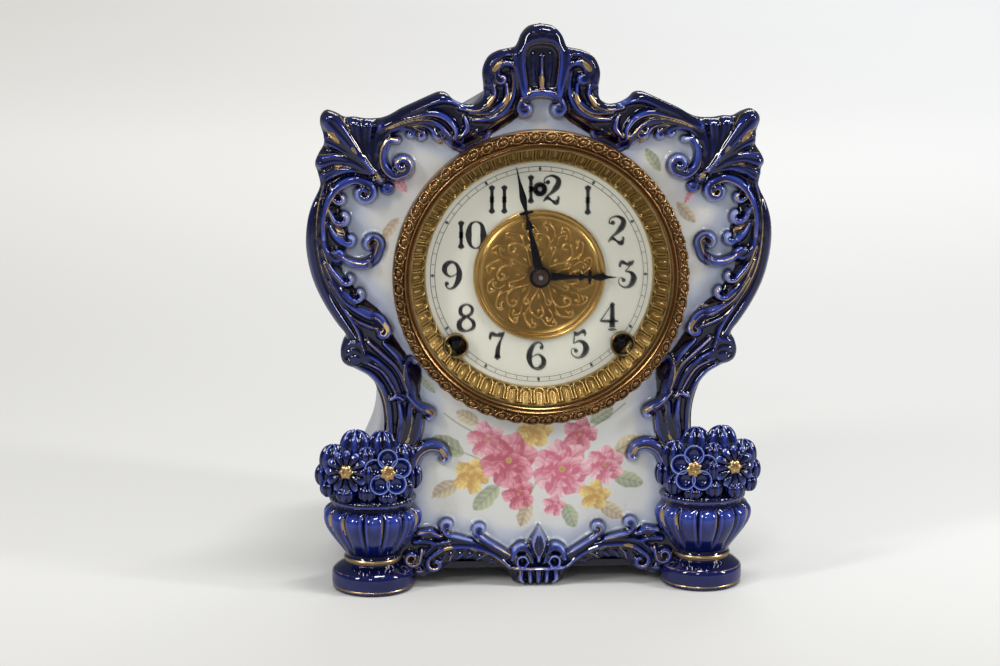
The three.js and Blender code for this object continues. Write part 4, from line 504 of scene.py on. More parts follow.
def glazed_blue():
    """Cobalt glaze of the urns, flowers and feet."""
    f = Finish("cobalt_glaze")
    cloud = f.noise(55.0, 4.0)
    fine = f.noise(420.0, 3.0)
    gold = (f.attribute("gilt") + (fine - 0.5) * 0.5 + (cloud - 0.5) * 0.6).rise(0.42, 0.6)
    return gilded_glaze(f, cobalt(f, cloud), gold, fine)


def pale_glaze():
    """Pale lilac-blue glaze of the body behind the front, blue towards its edges, with a painted shadow along
    its bottom and front edge.
    """
    f = Finish("pale_glaze")
    cloud = f.noise(16.0, 4.0)
    fine = f.noise(300.0, 3.0)
    china = f.mix(cloud.rise(0.3, 0.7), PALE_BLUE, CHINA)
    colour = f.mix(crackle(f, 210.0, 0.035, 0.45) * 0.35, china, (0.36, 0.33, 0.28))
    colour = f.mix(f.attribute("blue_edge_and_shade"), colour, COBALT)
    # Painted shadow: where the edge value runs highest, along the bottom under the apron and at the front
    # edge, the blue deepens to near-black navy
    colour = f.mix(f.attribute("blue_edge_and_shade").rise(0.75, 0.9), colour, NAVY)
    return f.surface(
        Base_Color=colour, Roughness=fine * 0.06 + 0.08, Coat_Weight=0.8, Coat_Roughness=0.04, IOR=1.52,
        Normal=f.bump(f.noise(60.0, 2.0), 0.0005, 0.3))


def worn_and_shaded_metal(name, bright, dark, rough, grain=160.0, tarnish=0.5, relief=False):
    """Metal with patches of tarnish and a fine grain; with relief, its low parts are darker, a painted shade
    in the hollows.
    """
    f = Finish(name)
    cloud = f.noise(24.0, 5.0, 0.6)
    fine = f.noise(grain, 4.0, 0.6)
    shade = (cloud - 0.5) * 2.0 * tarnish + fine * 0.5
    if relief:
        # Painted shade: the lower the raised value, the darker the metal
        shade = shade + (1 - f.attribute("raised")) * 0.9 - 0.3
    colour = f.mix(shade.rise(0.1, 0.9), bright, dark)
    return f.surface(Base_Color=colour, Metallic=1.0, Roughness=shade.rise(0.0, 1.0) * 0.22 + rough,
                     Normal=f.bump(fine, 0.00012, 0.5))


def enamel():
    f = Finish("white_enamel")
    cloud = f.noise(30.0, 4.0)
    specks = 1 - f.cells(170.0).rise(0.02, 0.05)
    colour = f.mix(cloud.rise(0.35, 0.75), (0.74, 0.735, 0.62), (0.68, 0.68, 0.58))
    colour = f.mix(specks * f.noise(9.0).rise(0.6, 0.7), colour, (0.2, 0.15, 0.1))
    return f.surface(Base_Color=colour, Roughness=cloud * 0.08 + 0.12, Coat_Weight=0.6, Coat_Roughness=0.05,
                     Normal=f.bump(cloud, 0.0003, 0.3))


def ink():
    f = Finish("dial_ink")
    worn = f.noise(900.0, 3.0)
    return f.surface(Base_Color=f.mix(worn.rise(0.45, 0.75), (0.012, 0.011, 0.012), (0.05, 0.045, 0.04)),
                     Roughness=worn * 0.2 + 0.25)


def clear_glass():
    f = Finish("clear_glass")
    smear = f.noise(20.0, 3.0)
    return f.surface(Base_Color=(1.0, 1.0, 1.0), Roughness=smear.rise(0.5, 1.0) * 0.003, IOR=1.3,
                     Transmission_Weight=1.0, Alpha=0.12)


FINISHES = {
    "front": glazed_front(),
    "blue": glazed_blue(),
    "pale": pale_glaze(),
    "bezel": worn_and_shaded_metal("antique_gilt", (0.37, 0.21, 0.085), (0.13, 0.06, 0.02), 0.24, relief=True,
                        tarnish=0.7),
    "sash": worn_and_shaded_metal("bright_gilt", (0.54, 0.37, 0.13), (0.13, 0.07, 0.02), 0.3, relief=True, tarnish=0.3),
    "medallion": worn_and_shaded_metal("medallion_gilt", (0.72, 0.44, 0.13), (0.22, 0.12, 0.035), 0.25, relief=True,
                            tarnish=0.2),
    "gilt": worn_and_shaded_metal("plain_gilt", (0.6, 0.34, 0.13), (0.24, 0.11, 0.04), 0.26),
    "brass": worn_and_shaded_metal("movement_brass", (0.72, 0.5, 0.2), (0.36, 0.22, 0.08), 0.26),
    "bronze": worn_and_shaded_metal("dark_bronze", (0.16, 0.1, 0.07), (0.05, 0.03, 0.02), 0.3),
    # Near-black where the raised value is low, down the winding holes: painted shade
    "collar": worn_and_shaded_metal("collar_brass_and_shade", (0.34, 0.24, 0.1), (0.012, 0.008, 0.005), 0.32, relief=True),
    "steel": worn_and_shaded_metal("bright_steel", (0.6, 0.6, 0.6), (0.26, 0.25, 0.24), 0.22),
    "blue_steel": worn_and_shaded_metal("dark_steel", (0.03, 0.03, 0.035), (0.012, 0.01, 0.01), 0.3),
    "cast_iron": worn_and_shaded_metal("cast_iron", (0.1, 0.1, 0.1), (0.035, 0.033, 0.032), 0.5, grain=420.0),
    "enamel": enamel(),
    "ink": ink(),
    "glass": clear_glass(),
}
SLOT_FINISH = {"brass": "brass", "gilt": "gilt", "steel": "steel", "blue_steel": "blue_steel",
               "enamel": "enamel",
               "clear_glass": "glass", "cast_iron": "cast_iron", "porcelain": "pale"}


# Front of the case: a sheet over its right half, raised by the relief, then the same mirrored
class Sheet:
    """Even quads over the right half of the front, drawn to its outline, the dial opening and the middle."""

    def __init__(self, outline):
        xs = np.arange(int(HALF_WIDTH / GRID) + 3) * GRID
        zs = np.arange(int(HEIGHT / GRID) + 3) * GRID
        columns = len(xs)
        middles = np.stack(np.meshgrid(xs[:-1] + GRID / 2, zs[:-1] + GRID / 2), 2).reshape(-1, 2)
        coarse = np.vstack([outline[::4], outline[-1:]])
        cells = np.nonzero(inside(middles, coarse) & (self.from_dial(middles) > FRONT_HOLE))[0]
        first = cells // (columns - 1) * columns + cells % (columns - 1)
        quads = np.stack([first, first + 1, first + columns + 1, first + columns], 1)
        used, number = np.unique(quads, return_inverse=True)
        self.quads = number.reshape(-1, 4)
        self.spots = np.stack(np.meshgrid(xs, zs), 2).reshape(-1, 2)[used]
        edges = np.concatenate([self.quads[:, [k, (k + 1) % 4]] for k in range(4)])
        self.links = np.concatenate([edges, edges[:, ::-1]])
        self.count = np.bincount(self.links[:, 0], minlength=len(self.spots))
        self.loops = self.border_loops(edges)
        self.draw_to_border(outline)

    @staticmethod
    def from_dial(spots):
        return np.hypot(spots[:, 0], spots[:, 1] - DIAL_Z)

    @staticmethod
    def border_loops(edges):
        """Closed loops of the edges that have a quad on one side only."""
        pairs = set(map(tuple, edges.tolist()))
        waiting = {}
        for p, q in sorted(pairs):
            if (q, p) not in pairs:
                waiting.setdefault(p, []).append(q)
        loops = []
        while waiting:
            here = start = next(iter(waiting))
            loop = []
            while not loop or here != start:
                loop.append(here)
                following = waiting[here].pop()
                if not waiting[here]:
                    del waiting[here]
                here = following
            loops.append(loop)
        return loops

    def softened(self, values):
        """Each corner takes the mean of its neighbours."""
        total = np.bincount(self.links[:, 0], weights=values[self.links[:, 1]], minlength=len(self.spots))
        return total / self.count

    def draw_to_border(self, outline):
        """Moves the border onto its lines and evens out the quads beside it."""
        border = np.concatenate(self.loops)
        start = self.spots.copy()
        seam = border[start[border, 0] < 1e-6]
        hole = border[(self.from_dial(start[border]) < FRONT_HOLE + 2 * GRID) & (start[border, 0] > 1e-6)]
        outer = np.setdiff1d(border, np.concatenate([seam, hole]))
        upper = seam[start[seam, 1] > DIAL_Z]
        lower = seam[start[seam, 1] < DIAL_Z]
        pins = {upper[start[upper, 1].argmax()]: HEIGHT - 0.15,
                upper[start[upper, 1].argmin()]: DIAL_Z + FRONT_HOLE,
                lower[start[lower, 1].argmax()]: DIAL_Z - FRONT_HOLE,
                lower[start[lower, 1].argmin()]: outline[-1, 1]}
        gap, _ = nearest(start, outline[::4])
        free = np.nonzero((gap < 3) | (self.from_dial(start) < FRONT_HOLE + 3))[0]
        free = np.setdiff1d(free, border)

        def hold():
            _, number = nearest(self.spots[outer], outline)
            self.spots[outer] = outline[number]
            away = self.spots[hole] - (0, DIAL_Z)
            self.spots[hole] = (0, DIAL_Z) + away * (FRONT_HOLE / np.hypot(*away.T))[:, None]
            self.spots[seam, 0] = 0
            for corner, height in pins.items():
                self.spots[corner, 1] = height

        for _ in range(10):
            hold()
            mean = np.stack([self.softened(self.spots[:, 0]), self.softened(self.spots[:, 1])], 1)
            self.spots[free] = mean[free]
            for loop in self.loops:
                around = self.spots[loop]
                self.spots[loop] = 0.5 * around + 0.25 * (np.roll(around, 1, 0) + np.roll(around, -1, 0))
        hold()
        self.outer = np.zeros(len(self.spots), bool)
        self.outer[outer] = True


FRAME_RISE = 3.2
LINE_SWELL = 1.22
ROUNDING_PASSES, NEAR_PASSES, WIDE_PASSES, SHADE_PASSES = 4, 8, 28, 78


def raise_relief(sheet):
    """Height of the relief over the sheet, with the values its glaze reads."""
    spots = sheet.spots
    bed_line = smooth_line(mirrored_outline(FIELD), 0.7, closed=True)
    to_field, _ = nearest(spots, bed_line)
    pale = np.where(inside(spots, bed_line), to_field, -to_field)
    height = FRAME_RISE * ramp(-pale, 0, 5)
    haze = ramp(pale, 1, 24)
    gold = np.full(len(spots), 9.0)
    for points, widths, proud, curl, gold_at in RELIEF:
        line = curled_line(points, curl)
        half = spread(widths, len(line)) * LINE_SWELL
        if curl is not None:
            half[-len(line) // 3:] *= np.linspace(1, 0.75, len(half[-len(line) // 3:]))
        tangent = np.gradient(line, axis=0) + 1e-9
        tangent /= np.hypot(*tangent.T)[:, None]
        for flip in (1, -1):
            if flip < 0 and abs(line[:, 0]).max() < 0.2:
                continue
            run = line * (flip, 1)
            room = half.max() + 2.5
            near = np.nonzero(((spots > run.min(0) - room) & (spots < run.max(0) + room)).all(1))[0]
            if not len(near):
                continue
            gap, k = nearest(spots[near], run)
            along = tangent[k] * (flip, 1)
            off = spots[near] - run[k]
            side = (along[:, 0] * off[:, 1] - along[:, 1] * off[:, 0]) * flip
            share = gap / half[k]
            rise = (proud - 1.6) * np.sqrt(np.clip(1 - share**2, 0, 1)) + 1.6 * ramp(1.5 - share, 0, 0.5)
            rise -= 1.1 * np.exp(-(share / 0.32) ** 2) * ramp(half[k], 2.2, 3)
            own = (rise > height[near]) & (share < 1.15)
            gold[near[own]] = 9 if gold_at is None else (side - gold_at * half[k])[own]
            height[near] = np.maximum(height[near], rise)
            pale[near] = np.minimum(pale[near], gap - half[k] - 0.5)
    gilt = np.zeros(len(spots))
    for x, z, radius, way in GOLD_SPOTS:
        turn = math.radians(way)
        off = spots - (x, z)
        along = off[:, 0] * math.cos(turn) + off[:, 1] * math.sin(turn)
        across = off[:, 1] * math.cos(turn) - off[:, 0] * math.sin(turn)
        gap = np.hypot(along / 2.1, across / (0.75 + 0.12 * along / radius).clip(0.3))
        gilt = np.maximum(gilt, ramp(radius * 1.5 - gap, 0, radius))
    for _ in range(ROUNDING_PASSES):
        height = 0.55 * height + 0.45 * sheet.softened(height)
    shade = (pale < 0).astype(float)
    for _ in range(SHADE_PASSES):
        shade = sheet.softened(shade)
    wide = height
    for k in range(WIDE_PASSES):
        wide = sheet.softened(wide)
        if k == NEAR_PASSES - 1:
            close = wide
    # thin: low in the hollows, high on narrow ridges; partly thinner glaze on the ridges, partly painted
    # shade in the hollows and a painted highlight on the crests
    values = {"pale": np.clip(pale, -4, 2), "haze": haze * (1 - np.clip(shade * 1.6, 0, 1)), "gilt": gilt,
              "thin": np.clip(0.3 + (height - wide) * 0.2 + (height - close) * 1.1, 0, 1.7),
              "gold_line": gold}
    height = np.minimum(height, np.maximum(0, (sheet.from_dial(spots) - BEZEL_SEAT) * 1.3))
    # Room for the opened bezel, which leans over the relief beside its hinge
    room = 0.0066 * (spots[:, 1] - DIAL_Z) ** 2 - 0.3 + 2 * np.maximum(0, spots[:, 0] - 82.8)
    height = np.minimum(height, np.maximum(0, room))
    return height, values


def front_relief():
    """The right half of the front with its relief, and the same mirrored."""
    outline = smooth_line(np.array(OUTLINE_SHARES) * (HALF_WIDTH, HEIGHT), 0.15)
    outline[:, 0] = np.clip(outline[:, 0], 0, HALF_WIDTH)
    outline[:, 1] = np.clip(outline[:, 1], 0.4, HEIGHT)
    sheet = Sheet(outline)
    height, values = raise_relief(sheet)
    reach, _ = nearest(sheet.spots, outline[::2])
    fall = 3.2
    height -= fall * np.clip(1 - reach / fall, 0, 1) ** 2

    corners = np.stack([sheet.spots[:, 0], FACE - height, sheet.spots[:, 1]], 1)
    faces = [tuple(q) for q in sheet.quads]
    total = len(corners)
    walls, sources, back_loops = [], [np.arange(total)], []
    for loop in sheet.loops:
        flat = sheet.spots[loop]
        towards = np.roll(flat, -4, 0) - np.roll(flat, 4, 0)
        towards /= np.maximum(np.hypot(*towards.T), 1e-6)[:, None]
        inward = np.stack([-towards[:, 1], towards[:, 0]], 1) * sheet.outer[loop][:, None]
        previous = loop
        for depth, inset in ((5.5, 0.0), (9.5, 0.4), (PANEL, 1.6)):
            shifted = flat + inward * inset
            shifted[:, 0] = np.where(flat[:, 0] < 1e-6, 0, np.maximum(shifted[:, 0], 0.01))
            number = list(range(total, total + len(loop)))
            walls.append(np.stack([shifted[:, 0], np.full(len(loop), FACE + depth), shifted[:, 1]], 1))
            sources.append(np.array(loop))
            total += len(loop)
            for k in range(len(loop)):
                n = (k + 1) % len(loop)
                faces.append((previous[n], previous[k], number[k], number[n]))
            previous = number
        back_loops.append(previous)
    corners = np.vstack([corners, *walls])
    corners[:, 2] = np.maximum(corners[:, 2], 0.3)
    numbers = [v for loop in back_loops for v in loop]
    rims = [[Vector((corners[v, 0], corners[v, 2], 0)) for v in loop] for loop in back_loops]
    faces += [tuple(numbers[k] for k in face) for face in tessellate_polygon(rims)]
    sources = np.concatenate(sources)
    values = {key: value[sources] for key, value in values.items()}
    values["gold_line"][len(sheet.spots):] = 9
    for side, flip in (("right", 1), ("left", -1)):
        placed = corners * (flip, 1, 1)
        colours, values["painted"] = painted_flowers(placed[:, [0, 2]])
        piece = make_mesh(f"case_front_{side}", placed * MM, faces, FINISHES["front"], 60, values,
                          {"flowers": colours})
        face_outward(piece)
        place(piece, "case", ["porcelain_case"])


# Painted flowers on the pale field: petals round (x, z), as size, count, turn and colours
ROSE = ((0.4, 0.012, 0.06), (0.82, 0.36, 0.43))
PINK = ((0.52, 0.06, 0.14), (0.86, 0.58, 0.6))
BUTTER = ((0.5, 0.25, 0.015), (0.86, 0.7, 0.2))
LEAF = ((0.06, 0.1, 0.015), (0.38, 0.42, 0.15))
OLIVE = ((0.24, 0.12, 0.02), (0.62, 0.5, 0.24))
BLOOMS = [(-27, 76, 9.5, 5, 0.5, PINK), (21, 78, 9, 5, 1.3, ROSE), (-34, 57, 9.5, 5, 1.2, BUTTER),
          (-2, 80, 9, 6, 0.1, BUTTER),
          (34, 62, 10, 6, 0.5, PINK), (-15, 65, 14.5, 6, 0.3, ROSE), (12, 60, 15, 7, 0.9, PINK),
          (29, 46, 8, 5, 0.2, BUTTER),
          (-10, 47, 8.5, 5, 0.7, ROSE), (8, 41, 6, 5, 0.2, PINK)]
LEAVES = [(-38, 68, -54, 78, 5.6, LEAF), (-30, 84, -42, 91, 4.2, OLIVE), (-40, 54, -54, 47, 5, OLIVE),
          (-20, 52, -33, 39, 5.4, LEAF),
          (-4, 44, -9, 30, 4.6, OLIVE), (14, 42, 19, 29, 4.8, LEAF), (31, 42, 44, 34, 4.8, OLIVE),
          (38, 56, 54, 52, 5, LEAF),
          (38, 68, 53, 77, 5.4, OLIVE), (26, 84, 38, 92, 4.4, LEAF), (68, 197, 78, 186, 3.6, OLIVE),
          (60, 212, 52, 224, 3.6, LEAF),
          (78, 205, 72, 196, 2.6, ROSE), (-70, 190, -79, 178, 3.6, OLIVE), (-66, 202, -74, 212, 3.4, ROSE),
          (-60, 110, -52, 100, 3, LEAF)]
STEMS = [(-54, 78, -44, 72, -30, 66), (54, 78, 42, 70, 20, 62), (-9, 30, -6, 42, 0, 56),
         (46, 33, 36, 42, 22, 52),
         (-54, 46, -42, 52, -26, 60), (-48, 90, -40, 84, -26, 76), (44, 94, 34, 86, 21, 78)]


def painted_flowers(spots):
    """Colour and cover of soft petals, leaves and stems, painted on the field."""
    colour = np.ones((len(spots), 4)) * (0.7, 0.7, 0.68, 1)
    cover = np.zeros(len(spots))
    wave = 0.6 * np.sin(spots[:, 0] * 0.9 + 1.3 * np.sin(spots[:, 1] * 0.7)) + 0.5 * np.sin(spots[:, 1] * 1.1)

    def lay(amount, dark, light, shade):
        amount = np.clip(amount, 0, 1)[:, None]
        shade = np.clip(shade, 0, 1)[:, None]
        tone = np.array(dark) * (1 - shade) + np.array(light) * shade
        colour[:, :3] = colour[:, :3] * (1 - amount) + tone * amount
        cover[:] = np.maximum(cover, amount[:, 0] * 0.92)

    for x0, z0, x1, z1, x2, z2 in STEMS:
        line = smooth_line([(x0, z0), (x1, z1), (x2, z2)])
        gap, _ = nearest(spots, line)
        lay(ramp(0.8 - gap, 0, 0.5) * 0.8, LEAF[0], LEAF[1], np.full(len(spots), 0.3))
    for x0, z0, x1, z1, half, (dark, light) in LEAVES:
        way = np.array([x1 - x0, z1 - z0], float)
        length = np.hypot(*way)
        way /= length
        off = spots - (x0, z0)
        along = off @ way / length
        across = off[:, 0] * -way[1] + off[:, 1] * way[0]
        room = half * np.sqrt(np.clip(np.sin(np.pi * np.clip(along, 0, 1)), 0, 1)) * (1 + 0.08 * wave)
        inside_leaf = ramp(room - np.abs(across), 0, 1.1) * ((along > 0) & (along < 1))
        vein = ramp(0.5 - np.abs(across), 0, 0.4) * 0.6
        ribs = 0.22 * np.sin(along * 34 - np.abs(across) * 1.6)
        lay(inside_leaf * 0.85, dark, light, 0.5 + across / half * 0.5 - vein + ribs + 0.1 * wave)
    for x0, z0, size, count, turn, (dark, light) in BLOOMS:
        off = spots - (x0, z0)
        near = np.hypot(*off.T)
        bearing = np.arctan2(off[:, 1], off[:, 0])
        for ring, (reach, grow) in enumerate(((0.6, 0.46), (0.34, 0.36), (0.14, 0.24))):
            for k in range(count - ring):
                angle = turn + 2 * np.pi * (k + 0.5 * ring) / (count - ring)
                centre = np.array([math.cos(angle), math.sin(angle)]) * size * reach
                around = np.arctan2(off[:, 1] - centre[1], off[:, 0] - centre[0])
                gap = np.hypot(*(off - centre).T) / (size * grow)
                edge = 1 + 0.07 * np.cos(4 * (around - angle) + k) + 0.05 * wave
                amount = ramp(edge - gap, 0, 0.14)
                lit = 0.5 + 0.5 * np.cos(around - angle - 0.9) * np.clip(gap, 0, 1)
                streaks = 0.16 * np.sin(bearing * 23 + 2 * wave + k)
                rim = ramp(gap / edge, 0.8, 0.97)
                lay(amount * 0.96, dark, light,
                    lit * 1.35 + streaks - 0.42 - 0.45 * rim + 0.08 * wave - 0.14 * ring)
        lay(ramp(size * 0.13 - near, 0, 0.8), (0.3, 0.16, 0.02), (0.75, 0.55, 0.08), near / size * 5)
    radius = np.hypot(spots[:, 0], spots[:, 1] - DIAL_Z)
    cover *= ramp(radius, 72, 78)
    return colour, cover


front_relief()


# Body of the case: half sections as shares of the half width and the height
BODY_SECTIONS = [
    (2.0, [(0, 0.915), (0.2, 0.9), (0.27, 0.85), (0.42, 0.85), (0.62, 0.825), (0.8, 0.8), (0.9, 0.77),
           (0.915, 0.71), (0.955, 0.64), (0.93, 0.54), (0.83, 0.455), (0.72, 0.38), (0.67, 0.31), (0.7, 0.2),
           (0.77, 0.12), (0.8, 0.028)]),
    (48.5, [(0, 0.88), (0.2, 0.87), (0.34, 0.84), (0.48, 0.81), (0.63, 0.77), (0.77, 0.73), (0.85, 0.68),
            (0.9, 0.62), (0.905, 0.56), (0.86, 0.48), (0.77, 0.41), (0.7, 0.34), (0.7, 0.27), (0.77, 0.2),
            (0.82, 0.12), (0.84, 0.028)]),
    (93.0, [(0, 0.835), (0.2, 0.826), (0.34, 0.806), (0.48, 0.775), (0.61, 0.73), (0.71, 0.68), (0.78, 0.62),
            (0.81, 0.57), (0.81, 0.52), (0.77, 0.45), (0.72, 0.38), (0.69, 0.31), (0.7, 0.25), (0.76, 0.19),
            (0.81, 0.11), (0.82, 0.028)]),
]
HOLLOW_SECTIONS = [
    (91.0, [(0, 0.808), (0.18, 0.8), (0.32, 0.782), (0.46, 0.745), (0.57, 0.7), (0.67, 0.645), (0.72, 0.57),
            (0.735, 0.52), (0.7, 0.45), (0.66, 0.38), (0.63, 0.31), (0.64, 0.25), (0.69, 0.19), (0.73, 0.1),
            (0.74, 0.04)]),
    (2.0, [(0, 0.825), (0.2, 0.812), (0.36, 0.79), (0.52, 0.75), (0.66, 0.7), (0.76, 0.64), (0.81, 0.57),
           (0.8, 0.52), (0.74, 0.45), (0.67, 0.38), (0.62, 0.31), (0.62, 0.25), (0.68, 0.19), (0.73, 0.1),
           (0.74, 0.04)]),
]


def resampled(line, count):
    """Points at even lengths along a line."""
    lengths = np.concatenate([[0], np.cumsum(np.hypot(*np.diff(line, axis=0).T))])
    at = np.linspace(0, lengths[-1], count)
    return np.stack([np.interp(at, lengths, line[:, 0]), np.interp(at, lengths, line[:, 1])], 1)


def section_loop(shares):
    """A closed section from its half outline, with a flat bottom."""
    half = smooth_line(np.array(shares) * (HALF_WIDTH, HEIGHT), 1.0)
    side = resampled(half, 96)
    bottom = np.stack([np.linspace(side[-1, 0], 0, 32), np.full(32, side[-1, 1])], 1)[1:]
    right = np.vstack([side, bottom])
    loop = np.vstack([right, right[-2:0:-1] * (-1, 1)])
    for _ in range(3):
        loop = 0.5 * loop + 0.25 * (np.roll(loop, 1, 0) + np.roll(loop, -1, 0))
    return loop


def case_body():
    """Skin from the front over the outside, in by the rear opening and through the hollow."""
    front, middle, back = (section_loop(shares) for _, shares in BODY_SECTIONS)
    depths = [depth for depth, _ in BODY_SECTIONS]
    centre = np.array([0, DIAL_Z])
    rings = []
    m = (depths[1] - depths[0]) / (depths[2] - depths[0])
    for t in np.linspace(0, 1, 16):
        depth = depths[0] + t * (depths[2] - depths[0])
        weights = ((t - m) * (t - 1) / m, t * (t - 1) / (m * (m - 1)), t * (t - m) / (1 - m))
        rings.append((weights[0] * front + weights[1] * middle + weights[2] * back, depth))
    towards = centre - back
    towards /= np.hypot(*towards.T)[:, None]
    for turn in (0.4, 0.8, 1.2, 1.57):
        rings.append((back + towards * 4 * (1 - math.cos(turn)), 93 + 4 * math.sin(turn)))
    around = -towards
    rolled = rings[-1][0]
    for share in (0.04, 0.3, 0.6, 0.95):
        rings.append((rolled * (1 - share) + (centre + around * (REAR_HOLE + 1.2)) * share, BODY_DEPTH))
    for radius, depth in ((REAR_HOLE + 1.2, BODY_DEPTH), (REAR_HOLE + 0.4, 96.7), (REAR_HOLE, 96),
                          (REAR_HOLE, 91)):
        rings.append((centre + around * radius, depth))
    for depth, shares in HOLLOW_SECTIONS:
        rings.append((section_loop(shares), depth))
    corners = np.vstack([np.stack([ring[:, 0], np.full(len(ring), FACE + depth), ring[:, 1]], 1)
                         for ring, depth in rings])
    count = len(front)
    depth = corners[:, 1] - FACE
    # Blue shading at the front edge, along the bottom and round the back; its top values at the front edge
    # and the bottom also carry a painted shadow
    edge = np.maximum(ramp(30 - depth, 0, 22) * 0.95, ramp(24 - corners[:, 2], 0, 14) * 0.9)
    edge = np.maximum(edge, ramp(depth, 88, 96) * 0.35)
    faces = [f[::-1] for f in grid_faces(len(rings), count, wrap_rows=True, wrap_columns=True)]
    place(make_mesh("case_body", corners * MM, faces, FINISHES["pale"], 50, {"blue_edge_and_shade": edge}), "case")


def upright(x, y):
    """Places about an upright line, from a turn, a radius and a height."""
    return lambda turn, radius, height: np.stack(
        [x + radius * np.sin(turn), y - radius * np.cos(turn), height], -1)


def about_dial(turn, radius, depth, middle=DIAL_Z):
    """Places about the dial's line, from a turn, a radius and a depth behind the face."""
    return np.stack([radius * np.sin(turn), FACE + depth, middle + radius * np.cos(turn)], -1)


def revolved(name, profile, material, spot, count, values, angle=40, shape=None, closed=False):
    """A profile turned about a line, either a closed loop or an open one whose two ends are capped."""
    profile = np.array(profile, float)
    turns = full_turn(count)[:, None]
    radius = np.repeat(profile[None, :, 0], count, 0)
    along = np.repeat(profile[None, :, 1], count, 0)
    if shape is not None:
        radius, along, values = shape(radius, along, turns)
    wide = len(profile)
    corners = spot(turns, radius, along).reshape(-1, 3)
    faces = grid_faces(count, wide, wrap_rows=True, wrap_columns=closed)
    data = {key: (value * np.ones_like(radius)).ravel() for key, value in values.items()}
    if not closed:
        base = len(corners)
        ends = np.array([profile[0, 1], profile[-1, 1]])
        corners = np.vstack([corners, spot(np.zeros(2), np.zeros(2), ends)])
        for k in range(count):
            n = (k + 1) % count
            faces.append((base, k * wide, n * wide))
            faces.append((base + 1, n * wide + wide - 1, k * wide + wide - 1))
        data = {key: np.concatenate([value, value[[0, wide - 1]]]) for key, value in data.items()}
    piece = make_mesh(name, corners * MM, faces, material, angle, data)
    face_outward(piece)
    return piece


URN_PROFILE = [
    (19.2, 0.4), (20.3, 0.7), (20.7, 1.4), (20.6, 2), (20.4, 2.4), (20.8, 2.9), (20.95, 3.8), (20.95, 8),
    (20.8, 9.2),
    (20.2, 10.2), (19.2, 11), (18.6, 11.5), (17.6, 12.4), (16.2, 13.2), (15, 13.9), (14.3, 14.5), (14.3, 15),
    (14.8, 15.4),
    (15, 16.1), (14.8, 16.8), (14.1, 17.3), (13.9, 18), (14.8, 19.6), (16.4, 21.8), (18.4, 24.4),
    (20.5, 27.2), (22.4, 30),
    (24, 32.8), (25, 35.4), (25.4, 37.8), (25.2, 39.8), (24.3, 41.4), (22.9, 42.6), (21.3, 43.4), (20.3, 44),
    (20.1, 44.8),
    (20.6, 45.4), (21.6, 45.9), (22.1, 46.6), (22.2, 47.4), (22, 48.2), (21.4, 49), (20.4, 49.6), (15, 49.9),
]


URN_X = 84
REAR_FOOT_X = 78


def urn(side):
    def gadroons(radius, height, angles):
        wave = np.abs(np.cos(7 * angles))
        deep = ramp(height, 18.4, 27) * ramp(43.6 - height, 0, 1.6)
        radius = radius * (1 - 0.115 * deep * (1 - wave**0.55))
        rim = ramp(height, 44.6, 45.4)
        radius = radius * (1 - 0.012 * rim * (1 - np.abs(np.cos(21 * angles))))
        wedge = 0.1 + 0.42 * ramp(height, 26, 38)
        valley = ramp(wedge - wave, 0, 0.12) * ramp(height, 26, 30) * ramp(41.5 - height, 0, 1)
        gilt = valley * (0.42 + 0.4 * np.sign(np.cos(3.5 * angles + 0.8)))
        for low, high, strength in ((1.6, 2.7, 0.62), (9.4, 10.6, 0.5), (14.9, 16.9, 0.72), (45.2, 46, 0.5)):
            gilt = np.maximum(
                gilt, ramp(height, low - 0.3, low) * ramp(high + 0.3 - height, 0, 0.3) * strength)
        gilt = gilt * np.ones_like(radius)
        edge = ramp(wave, 0.25, 0.42) * ramp(0.62 - wave, 0, 0.15) * deep
        # thin: higher on the lobes' crests and edges, the rim band and more so on the upper bowl, partly
        # thinner glaze and partly a painted highlight from above; lower in the valleys, a painted shade
        thin = 0.4 + wave * deep * (0.35 + 0.35 * ramp(height, 32, 40)) + 0.75 * edge
        thin = (thin + 1.1 * ramp(height, 46, 46.5) * ramp(47.4 - height, 0, 0.4)
                + 0.25 * ramp(12 - height, 0, 2))
        thin = thin * np.ones_like(radius)
        return radius, height, {"gilt": gilt, "thin": thin}

    def half_set(turn, radius, height):
        spots = upright(URN_X if side == "right" else -URN_X, FACE)(turn, radius, height)
        spots[..., 1] = np.minimum(spots[..., 1], FACE + 14)
        return spots

    place(revolved(f"urn_{side}", URN_PROFILE, FINISHES["blue"], half_set, 252, {}, shape=gadroons), "case")


# Flowers in the right urn: middle, facing, size, petals, gold centre
CUPPED_FLOWER = ((76.8, -59, 64.2), (-0.1, -1, 0.14), 11.6, 5, 3.8)
DAISY = ((97.4, -57.4, 64.6), (0.26, -1, 0.14), 10.8, 12, 3.4)
# Ribbed leaves and buds round them: middle, half sizes
RIBBED = [
    ((69, -45.5, 67.5), (7.4, 6, 8.4)), ((79.5, -46.5, 72.6), (8, 6.6, 10.4)),
    ((92.5, -47, 73.4), (8.6, 6.8, 10.4)),
    ((103.5, -46, 67.6), (7.4, 6.4, 8.6)), ((108.4, -44, 60), (5, 6, 6)), ((63.8, -44, 58.6), (5, 6, 6.4)),
    ((68.4, -52, 54.4), (5, 5.4, 5)), ((87, -58, 53.6), (4.8, 4.6, 4.6)), ((98, -57, 52.8), (5, 4.8, 4)),
    ((106, -50, 54.6), (4.8, 5.4, 4.6)), ((77, -58, 51.6), (5, 4.8, 3.4)), ((87.2, -54.5, 71.4), (5, 5, 5)),
    ((86.6, -58.6, 63), (3, 3.6, 5)), ((85, -44, 60), (20, 14, 13)),
]


